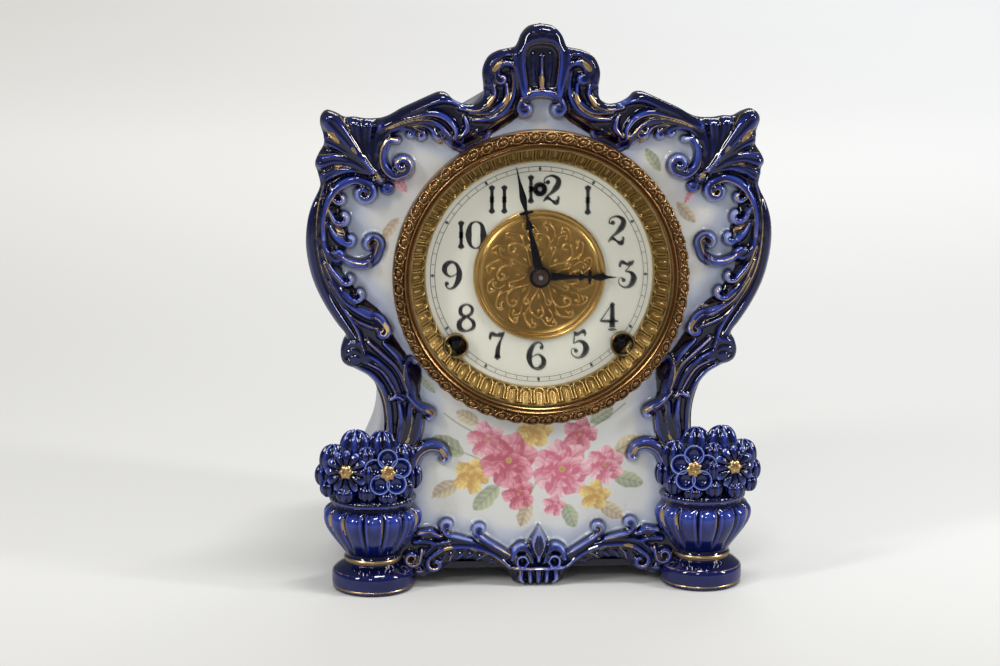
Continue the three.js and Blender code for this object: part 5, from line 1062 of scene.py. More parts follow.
class Clay:
    """Closed lumps gathered into one mesh, with named values at their corners."""

    def __init__(self):
        self.corners, self.faces, self.values = [], [], {}
        self.total = 0

    def add(self, sheet, **values):
        """A lump from a sheet of corners (round it, from tip to tip); each end ring closes on a point."""
        count, wide = sheet.shape[:2]
        tips = np.stack([sheet[:, 0].mean(0), sheet[:, -1].mean(0)])
        self.corners.append(np.vstack([sheet.reshape(-1, 3), tips]))
        for a, b, c, d in grid_faces(count, wide, wrap_rows=True):
            self.faces.append((a + self.total, b + self.total, c + self.total, d + self.total))
        last = self.total + count * wide
        for k in range(count):
            n = (k + 1) % count
            self.faces.append((last, self.total + k * wide, self.total + n * wide))
            self.faces.append((last + 1, self.total + n * wide + wide - 1, self.total + k * wide + wide - 1))
        for key, value in values.items():
            value = value * np.ones((count, wide))
            ends = [value[:, 0].mean(), value[:, -1].mean()]
            self.values.setdefault(key, []).append(np.concatenate([value.ravel(), ends]))
        self.total = last + 2

    def piece(self, name, material, angle=60, fit=None):
        corners = np.vstack(self.corners)
        if fit is not None:
            corners = fit(corners)
        values = {key: np.concatenate(parts) for key, parts in self.values.items()}
        result = make_mesh(name, corners * MM, self.faces, material, angle, values)
        face_outward(result)
        return result


def facing_axes(facing):
    """Across, up and out of a flower that faces a direction."""
    axis = Vector(facing).normalized()
    across = axis.cross(Vector((0, 0, 1))).normalized()
    return np.array([across, across.cross(axis), axis])


def bouquet(side):
    """Flowers, ribbed leaves and buds in one urn."""
    clay = Clay()
    middle, facing, size, petals, gold = CUPPED_FLOWER
    axes = facing_axes(facing)
    around = full_turn(28)[:, None]
    cup = np.array([(0.05, -1.9), (0.42, -1.6), (0.7, -0.7), (0.86, 0.6), (0.97, 1), (1.06, 0.5), (1, -0.8),
                    (0.7, -2.8), (0.1, -3.4)])
    for k in range(petals):
        angle = 2 * math.pi * (k + 0.25) / petals
        out = np.array([math.cos(angle), math.sin(angle)])
        radius = cup[None, :, 0] * size * 0.43
        rise = cup[None, :, 1] * 1.3 + 0.5 * np.sin(k * 2.2) + 0 * around
        sheet = np.stack([out[0] * size * 0.6 + radius * np.cos(around),
                          out[1] * size * 0.6 + radius * np.sin(around), rise], 2)
        # The petal rims are set past the top of thin, a pale painted highlight; the cup's underside is set
        # low, painted shade
        clay.add(sheet @ axes + middle, gilt=0.0,
                 thin=np.array([0.8, 0.8, 0.5, 1.1, 1.9, 0.9, 0.3, 0.1, 0.1])[None, :])
    for at, axes_of, radius, points in ((middle, axes, gold, 7),
                                        (DAISY[0], facing_axes(DAISY[1]), DAISY[4], 6)):
        knob = np.array([(0.1, 1.5), (0.35, 1.3), (0.5, 2.2), (0.8, 2.1), (1, 1.3), (1.05, 0.4), (0.9, -1.5),
                         (0.1, -2)])
        star = 1 + 0.16 * np.cos(points * around)
        reach = knob[None, :, 0] * radius * star
        sheet = np.stack([reach * np.cos(around), reach * np.sin(around), knob[None, :, 1] + 0 * around], 2)
        clay.add(sheet @ axes_of + at, gilt=1.0, thin=0.3)
    middle, facing, size, petals, gold = DAISY
    axes = facing_axes(facing)
    around = full_turn(petals * 12)[:, None]
    share = np.array([0.05, 0.2, 0.35, 0.5, 0.64, 0.78, 0.9, 0.97, 1, 0.94, 0.6, 0.1])[None, :]
    wave = np.abs(np.cos(petals * around / 2))
    reach = size * (0.74 + 0.26 * wave**0.6)
    base = np.array([0.6, 0.8, 1, 1.2, 1.3, 1.2, 0.9, 0.5, 0, -0.9, -2.6, -3.2])[None, :]
    stripe = 0.16 * np.cos(3 * petals * around)
    rise = base + (wave**0.5 - 0.7) * 1.5 * np.sin(np.pi * share) + stripe * np.sin(np.pi * share)
    sheet = np.stack([share * reach * np.cos(around), share * reach * np.sin(around), rise], 2)
    # The petal tips get a pale painted highlight
    clay.add(sheet @ axes + middle, gilt=0.0,
             thin=0.15 + 0.75 * wave * share + 0.9 * ramp(share, 0.85, 0.97) * wave)
    around = full_turn(84)[:, None]
    up = np.linspace(-1.5, 1.5, 19)[None, :]
    for number, ((x, y, z), (rx, ry, rz)) in enumerate(RIBBED):
        ribs = np.abs(np.cos((3.5 if rx < 10 else 12) * around + number))
        full = 0.78 + 0.22 * ribs**0.7
        sheet = np.stack([x + rx * np.cos(up) ** 0.8 * full * np.cos(around),
                          y + ry * np.cos(up) ** 0.8 * full * np.sin(around),
                          z + rz * np.sin(up) * (0.84 + 0.16 * ribs)], 2)
        # Rib crests lighter, and lighter still on the upper half: partly thinner glaze, partly a painted
        # highlight from above
        clay.add(sheet, gilt=0.0, thin=0.1 + 0.75 * ribs + 0.8 * ramp(ribs, 0.9, 1) * ramp(up, 0.2, 1.1))

    def set_in_case(corners):
        corners = corners * (1 if side == "right" else -1, 1, 1)
        corners[:, 1] = np.clip(corners[:, 1], -65.4, FACE + 13)
        return corners

    place(clay.piece(f"bouquet_{side}", FINISHES["blue"], fit=set_in_case), "case")


def rear_foot(side):
    profile = [(11.6, 0.3), (12.6, 0.9), (13, 2), (13, 8), (12.6, 12)]
    spot = upright(REAR_FOOT_X if side == "right" else -REAR_FOOT_X, FACE + 80)
    piece = revolved(f"rear_foot_{side}", profile, FINISHES["blue"], spot, 96, {"gilt": 0.0, "thin": 0.2})
    place(piece, "case")


# Ornaments repeated round the dial's line
def ring_tree():
    """Copies of an ornament turned evenly about the dial's line, as one mesh."""
    tree = bpy.data.node_groups.new("ornaments_in_a_ring", "GeometryNodeTree")
    keys = {}
    for label, kind in (("Ornament", "Geometry"), ("Count", "Int"), ("First turn", "Float"),
                        ("Height of the middle", "Float"), ("Finish", "Material")):
        keys[label] = tree.interface.new_socket(
            label, in_out="INPUT", socket_type="NodeSocket" + kind).identifier
    tree.interface.new_socket("Ring", in_out="OUTPUT", socket_type="NodeSocketGeometry")
    given = tree.nodes.new("NodeGroupInput").outputs

    def add(kind, settings=None, links=None):
        node = tree.nodes.new(kind)
        for key, value in (settings or {}).items():
            setattr(node, key, value)
        for key, value in (links or {}).items():
            if isinstance(value, bpy.types.NodeSocket):
                tree.links.new(value, node.inputs[key])
            else:
                node.inputs[key].default_value = value
        return node.outputs[0]

    middle = add("ShaderNodeCombineXYZ", None, {"Z": given["Height of the middle"]})
    spots = add("GeometryNodePoints", None, {"Count": given["Count"], "Position": middle})
    step = add("ShaderNodeMath", {"operation": "DIVIDE"}, {0: 2 * math.pi, 1: given["Count"]})
    turn = add("ShaderNodeMath", {"operation": "MULTIPLY_ADD"},
               {0: add("GeometryNodeInputIndex"), 1: step, 2: given["First turn"]})
    copies = add("GeometryNodeInstanceOnPoints", None,
                 {"Points": spots, "Instance": given["Ornament"],
                  "Rotation": add("ShaderNodeCombineXYZ", None, {"Y": turn})})
    joined = add("GeometryNodeRealizeInstances", None, {"Geometry": copies})
    finished = add("GeometryNodeSetMaterial", None, {"Geometry": joined, "Material": given["Finish"]})
    tree.links.new(finished, tree.nodes.new("NodeGroupOutput").inputs["Ring"])
    return tree, keys


RING_TREE, RING_KEYS = ring_tree()


def ring_of(ornament, count, first_turn=0.0):
    """The ornament, made about a middle at height nought, becomes its whole ring."""
    plain = ornament.data
    ring = ornament.modifiers.new("ring", "NODES")
    ring.node_group = RING_TREE
    ring[RING_KEYS["Count"]] = count
    ring[RING_KEYS["First turn"]] = first_turn
    ring[RING_KEYS["Height of the middle"]] = DIAL_Z * MM
    ring[RING_KEYS["Finish"]] = plain.materials[0]
    whole = bpy.data.meshes.new_from_object(ornament.evaluated_get(bpy.context.evaluated_depsgraph_get()))
    ornament.modifiers.clear()
    ornament.data = whole
    bpy.data.meshes.remove(plain)
    return ornament


def cord_sheet(line, half, proud, lay, sink=0.3):
    """A half-round cord along a flat line of (across, out), laid on a surface."""
    normal = normals(line)
    half = half * np.ones(len(line))
    proud = proud * np.ones(len(line))
    section = [(math.cos(a), math.sin(a)) for a in np.linspace(0, math.pi, 7)]
    rows = []
    for side, up in [(1.0, None), *section, (-1.0, None)]:
        place_at = line + normal * (half * side)[:, None]
        rows.append(lay(place_at[:, 0], place_at[:, 1],
                        -sink * np.ones(len(line)) if up is None else up * proud))
    raised = np.array([0.0, *(up for _, up in section), 0.0])[:, None]
    return np.stack(rows), raised


def dome_sheet(across, out, half_across, half_out, proud, lay, count=16, lobes=0, sink=0.3):
    """A domed oval laid on a surface."""
    turn = full_turn(count)[:, None]
    rise = np.array([0.03, 0.35, 0.62, 0.83, 0.96, 1.0])
    reach = rise[None, :] * (1 + (0.14 * np.cos(lobes * turn) if lobes else 0 * turn))
    up = np.append(np.sqrt(1 - rise[:-1] ** 2), 0.0) * proud - np.append(np.zeros(5), sink)
    sheet = lay(across + reach * half_across * np.cos(turn), out + reach * half_out * np.sin(turn),
                up[None, :] + 0 * turn)
    return sheet, np.append(np.sqrt(1 - rise[:-1] ** 2), 0.0)[None, :]


def ring_line(across, out, half_across, half_out, count):
    """A closed oval line."""
    turn = np.linspace(0, 2 * math.pi, count)
    return np.stack([across + half_across * np.cos(turn), out + half_out * np.sin(turn)], 1)


# Bezel: its section, then the band of bosses
BEZEL_BAND = (70.3, -10.6)
BEZEL_PROFILE = [
    (65.2, -12), (65.2, -12.7), (65.5, -13), (65.9, -13), (66.2, -12.6), (66.5, -12.5), (66.8, -12.9),
    (67.1, -13.5), (67.4, -13.9), (67.8, -14.1), (68.1, -13.9), (68.3, -13.4), (68.8, -13.7), (69.4, -13.95),
    (70.1, -14.1), (70.8, -14.05), (71.5, -13.75), (72.1, -13.3), (72.6, -12.7), (73, -12), (73.3, -11.2),
    (73.45, -10.3), (73.4, -9.2), (73.2, -8.4), (73.6, -8), (73.7, -5), (73.7, -1.4), (73.5, -0.9),
    (72.9, -0.9), (72.8, -4), (72.8, -8.2), (67, -8.2), (66.9, -12),
]
BOSSES = 56


def bezel_band(across, out, height):
    """Places on the rounded band of the bezel; out runs outward over its crown."""
    lean = out / 3.7
    radius = BEZEL_BAND[0] + (3.1 + height) * np.sin(lean)
    depth = BEZEL_BAND[1] - (3.45 + height) * np.cos(lean)
    return about_dial(across / 71, radius, depth, 0)


def bezel():
    def hinge_notch(radius, depth, turn):
        # The band under the bosses is set low so it reads dark between them, painted shade; the outer wall
        # sits between, and the inner cove stays bright
        raised = np.where(radius > 68.2, np.where(depth < -8.6, 0.15, 0.45), 0.85)
        across = np.abs(radius * np.cos(turn))
        limit = np.where((np.sin(turn) > 0) & (across < 22), -3.3, 0.0)
        limit = np.where((np.sin(turn) > 0) & (across < 4.6), -8.9, limit)
        return radius, np.where(radius > 72.4, np.minimum(depth, limit), depth), {"raised": raised}

    base = revolved("bezel_ring_gilt", BEZEL_PROFILE, FINISHES["bezel"], about_dial, 360, {}, 35, hinge_notch,
                    closed=True)
    place(base, "bezel", ["bezel_ring"])
    clay = Clay()
    pitch = 2 * math.pi * 71 / BOSSES
    line = ring_line(0, 1.2, 2.9, 2.6, 37)
    line[:, 0] += 0.35 * (line[:, 1] - 1.2)
    turn = np.linspace(0, 2 * math.pi, len(line))
    wave = (1 + 0.35 * np.cos(9 * turn)) * (1 + 0.35 * np.sin(turn))
    sheet, raised = cord_sheet(line, 0.55 * wave, 0.65 + 0.15 * wave, bezel_band)
    clay.add(sheet, raised=raised)
    sheet, raised = dome_sheet(0.15, 1, 1.7, 1.3, 0.95, bezel_band, 18)
    clay.add(sheet, raised=raised * 0.8)
    for across, out, size in ((pitch / 2, 2.9, 0.75), (pitch / 2, -0.7, 0.7), (pitch / 2, 1.2, 0.5),
                              (0, -2.2, 0.55)):
        sheet, raised = dome_sheet(across, out, size, size, size * 0.9, bezel_band, 10)
        clay.add(sheet, raised=raised * 0.9)
    bosses = ring_of(clay.piece("bezel_bosses", FINISHES["bezel"]), BOSSES, math.pi / BOSSES)
    place(bosses, "bezel")


# Sash: frames round eggs, with their round ends towards the dial
SASH_INNER, SASH_OUTER = (57, 1.0), (65.8, -7.6)
FRAMES = 56


def sash_slope(across, out, height):
    share = out / math.dist(SASH_INNER, SASH_OUTER)
    height = height - 0.4
    radius = SASH_INNER[0] + (SASH_OUTER[0] - SASH_INNER[0]) * share - 0.7 * height
    depth = SASH_INNER[1] + (SASH_OUTER[1] - SASH_INNER[1]) * share - 0.715 * height
    return about_dial(across / 61.5, radius, depth, 0)


def sash():
    profile = [(57, 1.0), (57.4, 0.3), (57.8, 0.2), (58.1, 0.5), (58.3, 0.6), (61.4, -2.6), (64.5, -5.7),
               (64.8, -6.6),
               (65.4, -7.4), (65.8, -7.6), (66.4, -7.6), (66.4, -6.6), (58, 1.6), (57, 1.6)]
    # The slope under the frames is set low so it reads dark between them: painted shade
    raised = np.array([0.8, 0.9, 0.9, 0.5, 0.05, 0.05, 0.05, 0.8, 0.9, 0.8, 0.5, 0.2, 0.2, 0.5])[None, :]
    base = revolved("sash_ring_gilt", profile, FINISHES["sash"], about_dial, 360, {"raised": raised}, 40,
                    closed=True)
    place(base, "case", ["sash_ring"])
    clay = Clay()
    sheet, raised = dome_sheet(0, 6.9, 3.1, 5.1, 0.3, sash_slope, 20)
    # The shield inside each frame is kept at a middle value, darker than the frame: painted shade
    clay.add(sheet, raised=0.4 * np.sqrt(raised))
    for half_across, half, proud in ((2.7, 0.6, 1.15), (1.6, 0.3, 0.75)):
        bend = [(half_across * math.cos(a), 4.1 + half_across * 1.05 * math.sin(a))
                for a in np.linspace(0, -math.pi, 11)]
        line = np.array([(half_across, 10.3), (half_across, 7.2), *bend, (-half_across, 7.2),
                         (-half_across, 10.3)])
        sheet, raised = cord_sheet(line, half, proud, sash_slope, 0.2)
        clay.add(sheet, raised=raised)
    sheet, raised = dome_sheet(0, 6.6, 0.85, 3, 0.9, sash_slope, 14)
    clay.add(sheet, raised=raised)
    for across, out, size in ((3.45, 9.5, 0.5), (3.45, 2.4, 0.5), (0, 10.4, 0.4)):
        sheet, raised = dome_sheet(across, out, size, size * 1.3, size, sash_slope, 8)
        clay.add(sheet, raised=raised)
    frames = ring_of(clay.piece("sash_frames", FINISHES["sash"]), FRAMES)
    place(frames, "case")


# Medallion: the scrolls of one eighth, as points (across, out), half width, height and curl
SCROLLS_IN_RING = 8
MEDALLION_SCROLLS = [
    ([(0.4, 6.6), (2.2, 10), (4.6, 14), (4.4, 18.6), (1.4, 21)], (0.3, 0.65, 0.5), 0.55, (2.5, 0.95, 1)),
    ([(-0.8, 7.4), (-2.4, 10.6), (-3.2, 14.2)], (0.3, 0.5, 0.45), 0.5, (1.7, 0.9, 1)),
    ([(4.4, 15), (6.6, 18.4), (7.2, 22.4), (4.8, 26)], (0.3, 0.6, 0.45), 0.5, (1.8, 0.85, 1)),
    ([(-1.2, 22.4), (-4, 25.6), (-7, 26.2)], (0.3, 0.6, 0.5), 0.5, (1.6, 0.9, 1)),
    ([(-4.6, 17), (-6.6, 20.4), (-5.4, 23)], (0.3, 0.5, 0.4), 0.45, (1.1, 0.8, -1)),
    ([(0.8, 24.4), (2, 27)], (0.5, 0.3), 0.45, None),
    ([(-2.4, 19.6), (-1.6, 16.8), (0, 14.6)], (0.5, 0.4, 0.2), 0.45, None),
]
MEDALLION_LEAVES = [(0.4, 10.8, 0.6, 1.5), (-5.4, 14.6, 0.6, 1.3), (7.9, 20, 0.6, 1.4),
                    (-3.6, 22.2, 0.7, 1.2), (3.6, 23, 0.6, 1.1),
                    (-7.4, 23, 0.6, 1.2), (5.8, 12.6, 0.5, 1.1)]


def medallion_face(across, out, height):
    return np.stack([across, FACE + 0.95 - height, out], -1)


def medallion():
    profile = [(5.2, 0.9), (27.6, 0.9), (28.6, 0.75), (29.2, 0.3), (29.8, 0.2), (30.3, 0.5), (30.7, 0.75),
               (31.2, 0.5),
               (31.8, 0.1), (32.4, 0), (33, 0.3), (33.2, 0.9), (33.2, 1.8), (5.2, 1.8)]
    # Low raised values in the dips of the rim darken them: painted shade
    raised = np.array([0.3, 0.35, 0.4, 0.8, 1, 0.6, 0.3, 0.6, 0.9, 1, 0.9, 0.5, 0.2, 0.2])[None, :]
    base = revolved("medallion_gilt", profile, FINISHES["medallion"], about_dial, 240, {"raised": raised}, 40,
                    closed=True)
    place(base, "case", ["dial_medallion"])
    clay = Clay()
    for points, widths, proud, curl in MEDALLION_SCROLLS:
        line = curled_line(points, curl)[::2]
        sheet, raised = cord_sheet(line, spread(widths, len(line)) * 1.15, proud * 1.35, medallion_face, 0.15)
        clay.add(sheet, raised=raised)
    for across, out, half_across, half_out in MEDALLION_LEAVES:
        sheet, raised = dome_sheet(across, out, half_across, half_out, 0.65, medallion_face, 12, sink=0.15)
        clay.add(sheet, raised=raised)
    scrolls = ring_of(clay.piece("medallion_scrolls", FINISHES["medallion"]), SCROLLS_IN_RING)
    place(scrolls, "case")


WINDING_X = 42
WINDING_DROP = 35


def winding_collar(side):
    profile = [(5.1, 2.6), (4.6, -0.6), (4.9, -1.9), (5.3, -2.7), (5.6, -3), (6, -3.1), (6.3, -2.9),
               (6.4, -2.5), (6.3, -2.3), (5.6, 2.6)]
    # Raised is nought down the funnel, so the hole reads near black: painted shade in the hole
    raised = np.array([0, 0, 0, 0.1, 0.7, 1, 0.9, 0.6, 0.3, 0])[None, :]
    x = WINDING_X if side == "right" else -WINDING_X

    def about_hole(turn, radius, depth):
        return about_dial(turn, radius, depth, DIAL_Z - WINDING_DROP) + (x, 0, 0)

    piece = revolved(f"winding_collar_{side}", profile, FINISHES["collar"], about_hole, 96,
                     {"raised": raised}, 40, closed=True)
    place(piece, "case", [f"winding_grommet_{side}"])


# Back ring and door, with their hinge
BACK_HINGE = (61.6, 60.35)


def back_door():
    ring = [(56, 97.4), (56, 98.3), (56.2, 98.5), (69.6, 98.5), (70.2, 98.7), (70.6, 98.6), (71, 98.2),
            (71, 97.4)]
    piece = revolved("back_ring_brass", ring, FINISHES["brass"], about_dial, 240, {}, 40, closed=True)
    place(piece, "case", ["back_ring"])
    door = [(2, 98.8), (57.8, 98.8), (58.4, 98.95), (58.6, 99.3), (58.4, 99.65), (57.6, 99.8), (55.8, 99.8),
            (55.2, 99.95),
            (54.6, 100.15), (54, 100.15), (53.4, 99.95), (52.8, 99.8), (46, 99.8), (45.4, 99.95), (44.8, 100),
            (44.2, 99.95), (43.6, 99.8), (20, 99.8), (2, 99.8)]
    piece = revolved("back_door_brass", door, FINISHES["brass"], about_dial, 240, {}, 40)
    place(piece, "rear_door", ["back_door"])
    for name, body, low, high in (("back_hinge_upper", "case", 2.9, 8),
                                  ("back_hinge_lower", "case", -8, -2.9),
                                  ("back_hinge_middle", "rear_door", -2.6, 2.6)):
        clay = Clay()
        knuckle = [(1.1, low), (1.4, low + 0.15), (1.5, low + 0.4), (1.5, high - 0.4), (1.4, high - 0.15),
                   (1.1, high)]
        turn = full_turn(32)[:, None]
        radius, height = (np.repeat(np.array(knuckle)[None, :, k], 32, 0) for k in (0, 1))
        clay.add(upright(*BACK_HINGE)(turn, radius, height + DIAL_Z))
        strap = np.array([(57.2, 0.0), (58.6, 0.0), (60, 0.0), (61.4, 0.0)]) + (0, (low + high) / 2)
        level = 98.4 if body == "case" else 99.4
        sheet, _ = cord_sheet(
            strap, (high - low) / 2 - 0.4, 0.7,
            lambda across, out, rise: np.stack([across, FACE + level + rise, out + DIAL_Z], -1))
        clay.add(sheet)
        place(clay.piece(name, FINISHES["brass"], 40), body)


# Numerals: strokes in shares of the figure's height, as points with half widths; a single point is a ball
FIGURES = {
    "0": [([(0, 0.5), (-0.2, 0.38), (-0.27, 0), (-0.2, -0.38), (0, -0.5), (0.2, -0.38), (0.27, 0),
            (0.2, 0.38), (0, 0.5)],
           (0.02, 0.1, 0.02, 0.1, 0.02))],
    "1": [([(0, 0.37), (0, -0.37)], (0.052, 0.052)), ([(0, 0.54), (0, 0.33)], (0.004, 0.1, 0.085, 0.05)),
          ([(0, -0.33), (0, -0.54)], (0.05, 0.085, 0.1, 0.004)),
          ([(0, 0.12), (0, -0.12)], (0.05, 0.08, 0.05, 0.08, 0.05))],
    "2": [([(-0.13, 0.26)], (0.085,)),
          ([(-0.13, 0.26), (-0.26, 0.24), (-0.22, 0.42), (0.02, 0.5), (0.24, 0.38), (0.24, 0.16),
            (0.04, -0.1), (-0.2, -0.3), (-0.3, -0.46)],
           (0.02, 0.02, 0.025, 0.05, 0.085, 0.095, 0.05, 0.025, 0.012)),
          ([(-0.3, -0.46), (-0.14, -0.33), (0.02, -0.42), (0.18, -0.5), (0.3, -0.3)],
           (0.015, 0.06, 0.03, 0.085, 0.015)),
          ([(0.26, -0.3)], (0.045,))],
    "3": [([(-0.28, 0.3), (-0.16, 0.45), (0.02, 0.38), (0.18, 0.42), (0.28, 0.52)],
           (0.02, 0.07, 0.04, 0.08, 0.015)),
          ([(0.26, 0.5), (0.1, 0.28), (-0.04, 0.1)], (0.015, 0.02, 0.02)), ([(-0.24, 0.3)], (0.045,)),
          ([(-0.04, 0.1), (0.18, 0.06), (0.28, -0.16), (0.16, -0.42), (-0.06, -0.5), (-0.26, -0.36),
            (-0.26, -0.16), (-0.12, -0.14)],
           (0.015, 0.05, 0.1, 0.085, 0.04, 0.02, 0.015, 0.015)), ([(-0.1, -0.22)], (0.08,))],
    "4": [([(0.12, 0.5), (-0.08, 0.2), (-0.32, -0.16)], (0.02, 0.02, 0.025)),
          ([(-0.36, -0.18), (0.36, -0.18)], (0.01, 0.05, 0.045, 0.06, 0.01)),
          ([(0.12, 0.44), (0.12, -0.42)], (0.06, 0.09)), ([(0.12, 0.54), (0.12, 0.38)], (0.004, 0.09, 0.05)),
          ([(-0.04, -0.5), (0.28, -0.5)], (0.02, 0.045, 0.02))],
    "5": [([(-0.18, 0.5), (-0.08, 0.4), (0.06, 0.45), (0.16, 0.5), (0.28, 0.4)],
           (0.02, 0.07, 0.04, 0.075, 0.015)),
          ([(-0.15, 0.47), (-0.2, 0.04)], (0.025, 0.02)), ([(0.22, 0.36)], (0.04,)),
          ([(-0.2, 0.04), (0, 0.13), (0.2, 0.05), (0.28, -0.18), (0.16, -0.42), (-0.06, -0.5), (-0.26, -0.36),
            (-0.26, -0.18), (-0.12, -0.16)],
           (0.015, 0.04, 0.07, 0.1, 0.08, 0.04, 0.02, 0.015, 0.015)), ([(-0.1, -0.24)], (0.08,))],
    "6": [([(0.24, 0.36), (0.1, 0.49), (-0.1, 0.42), (-0.26, 0.12), (-0.27, -0.2), (-0.14, -0.45),
            (0.06, -0.5), (0.24, -0.36), (0.25, -0.14), (0.08, 0.03), (-0.12, -0.02), (-0.24, -0.16)],
           (0.02, 0.03, 0.06, 0.09, 0.09, 0.06, 0.04, 0.08, 0.08, 0.04, 0.02, 0.015)),
          ([(0.18, 0.3)], (0.08,))],
    "7": [([(-0.3, 0.26), (-0.2, 0.44), (-0.04, 0.4), (0.12, 0.42), (0.28, 0.52)],
           (0.02, 0.08, 0.05, 0.08, 0.015)),
          ([(0.27, 0.5), (0.12, 0.18), (0.03, -0.12), (0.01, -0.44)], (0.02, 0.035, 0.07, 0.075)),
          ([(-0.26, 0.27)], (0.045,)),
          ([(0.01, -0.34), (0.01, -0.55)], (0.07, 0.11, 0.004))],
    "8": [([(0.04, 0.02), (-0.2, 0.14), (-0.2, 0.38), (0, 0.5), (0.2, 0.38), (0.18, 0.16), (-0.04, 0.02),
            (-0.25, -0.16), (-0.24, -0.4), (0, -0.5), (0.25, -0.38), (0.25, -0.16), (0.04, 0.02)],
           (0.03, 0.06, 0.06, 0.03, 0.05, 0.05, 0.05, 0.08, 0.08, 0.03, 0.06, 0.06, 0.03))],
}
FIGURES["9"] = [([(-x, -z) for x, z in points], widths) for points, widths in FIGURES["6"]]
FIGURE_SIZE = 13.5
STROKE_SWELL = 1.22
PRINT_FRONT, PRINT_BACK = -37.9, -37.84
# Figure, middle (x, z) and size; then the pairs with the distance between their figures
NUMERALS = [("1", 24, 37.6, 14), ("2", 38.4, 22.6, 13.5), ("3", 43.8, 0, 13.5), ("4", 35.4, -21.5, 13.5),
            ("5", 20.2, -35.8, 13.5),
            ("6", -1, -41.2, 13.5), ("7", -21, -36, 13.5), ("8", -36.5, -21.5, 13.5), ("9", -43.9, 0, 13.5)]
PAIRS = [("1", "0", -35.5, 20.5, 7.4), ("1", "1", -20.8, 38.2, 6.2), ("1", "2", 0.6, 43.2, 10.2)]


def dial_print():
    """Numerals and the minute rings, a thin layer on the enamel."""
    corners, faces = [], []

    def ribbon(left, right, closed=False):
        base = len(corners)
        count = len(left)
        for y in (PRINT_FRONT, PRINT_BACK):
            for edge in (left, right):
                corners.extend((p[0], y, p[1] + DIAL_Z) for p in edge)
        a, b, c, d = (base + k * count for k in range(4))
        spans = [(k, (k + 1) % count) for k in range(count if closed else count - 1)]
        for k, n in spans:
            faces.extend([(a + k, a + n, b + n, b + k), (d + k, d + n, c + n, c + k),
                          (b + k, b + n, d + n, d + k), (c + k, c + n, a + n, a + k)])
        if not closed:
            e = count - 1
            faces.extend([(a, b, d, c), (b + e, a + e, c + e, d + e)])

    def stroke(points, widths, centre, size):
        points = np.array(points, float) * size + centre
        if len(points) == 1:
            turns = full_turn(20)
            circle = np.stack([np.cos(turns), np.sin(turns)], 1)
            ribbon(points[0] + circle * widths[0] * size, points[0] + circle * 0.02, closed=True)
            return
        line = smooth_line(points, 0.35) if len(points) > 2 else resampled(points, 12)
        half = np.interp(np.linspace(0, 1, len(line)), np.linspace(0, 1, len(widths)),
                         widths) * size * STROKE_SWELL
        normal = normals(line) * half[:, None]
        ribbon(line + normal, line - normal)

    def figure(name, x, z, size):
        for points, widths in FIGURES[name]:
            stroke(points, widths, (x, z), size)

    for name, x, z, size in NUMERALS:
        figure(name, x, z, size)
    for first, second, x, z, apart in PAIRS:
        figure(first, x - apart / 2, z, FIGURE_SIZE)
        figure(second, x + apart / 2, z, FIGURE_SIZE)
    for radius in (52.4, 54.6):
        turns = full_turn(240)
        circle = np.stack([np.sin(turns), np.cos(turns)], 1)
        ribbon(circle * (radius + 0.15), circle * (radius - 0.15), closed=True)
    piece = make_mesh("dial_print", np.array(corners) * MM, faces, FINISHES["ink"], 30)
    face_outward(piece)
    place(piece, "case")

    def on_enamel(across, out, height):
        return np.stack([across, FACE + 2.1 - height, out], -1)

    for mark, half_across, half_out, count in (("minute_strokes", 0.16, 1.2, 60),
                                               ("five_minute_marks", 0.85, 1.35, 12)):
        clay = Clay()
        sheet, _ = dome_sheet(0, 53.5, half_across, half_out, 0.05, on_enamel, 8 if count == 60 else 4,
                              sink=0.01)
        clay.add(sheet)
        place(ring_of(clay.piece(mark, FINISHES["ink"], 30), count), "case")


# Hands: places along and half widths as shares of the minute hand's length
MINUTE_SHAPE = [(0.06, 0.04), (0.14, 0.038), (0.3, 0.026), (0.43, 0.014), (0.445, 0.04), (0.46, 0.034),
                (0.53, 0.01), (0.572, 0.012),
                (0.575, 0.062), (0.6, 0.062), (0.603, 0.012), (0.7, 0.03), (0.74, 0.029), (0.86, 0.012),
                (1, 0.003)]
HOUR_SHAPE = [(0.07, 0.038), (0.14, 0.036), (0.22, 0.026), (0.34, 0.013), (0.35, 0.036), (0.365, 0.034),
              (0.4, 0.013), (0.427, 0.014),
              (0.43, 0.06), (0.455, 0.06), (0.458, 0.014), (0.53, 0.034), (0.56, 0.03), (0.6, 0.014),
              (0.68, 0.003)]
HAND_LENGTH = 56.5


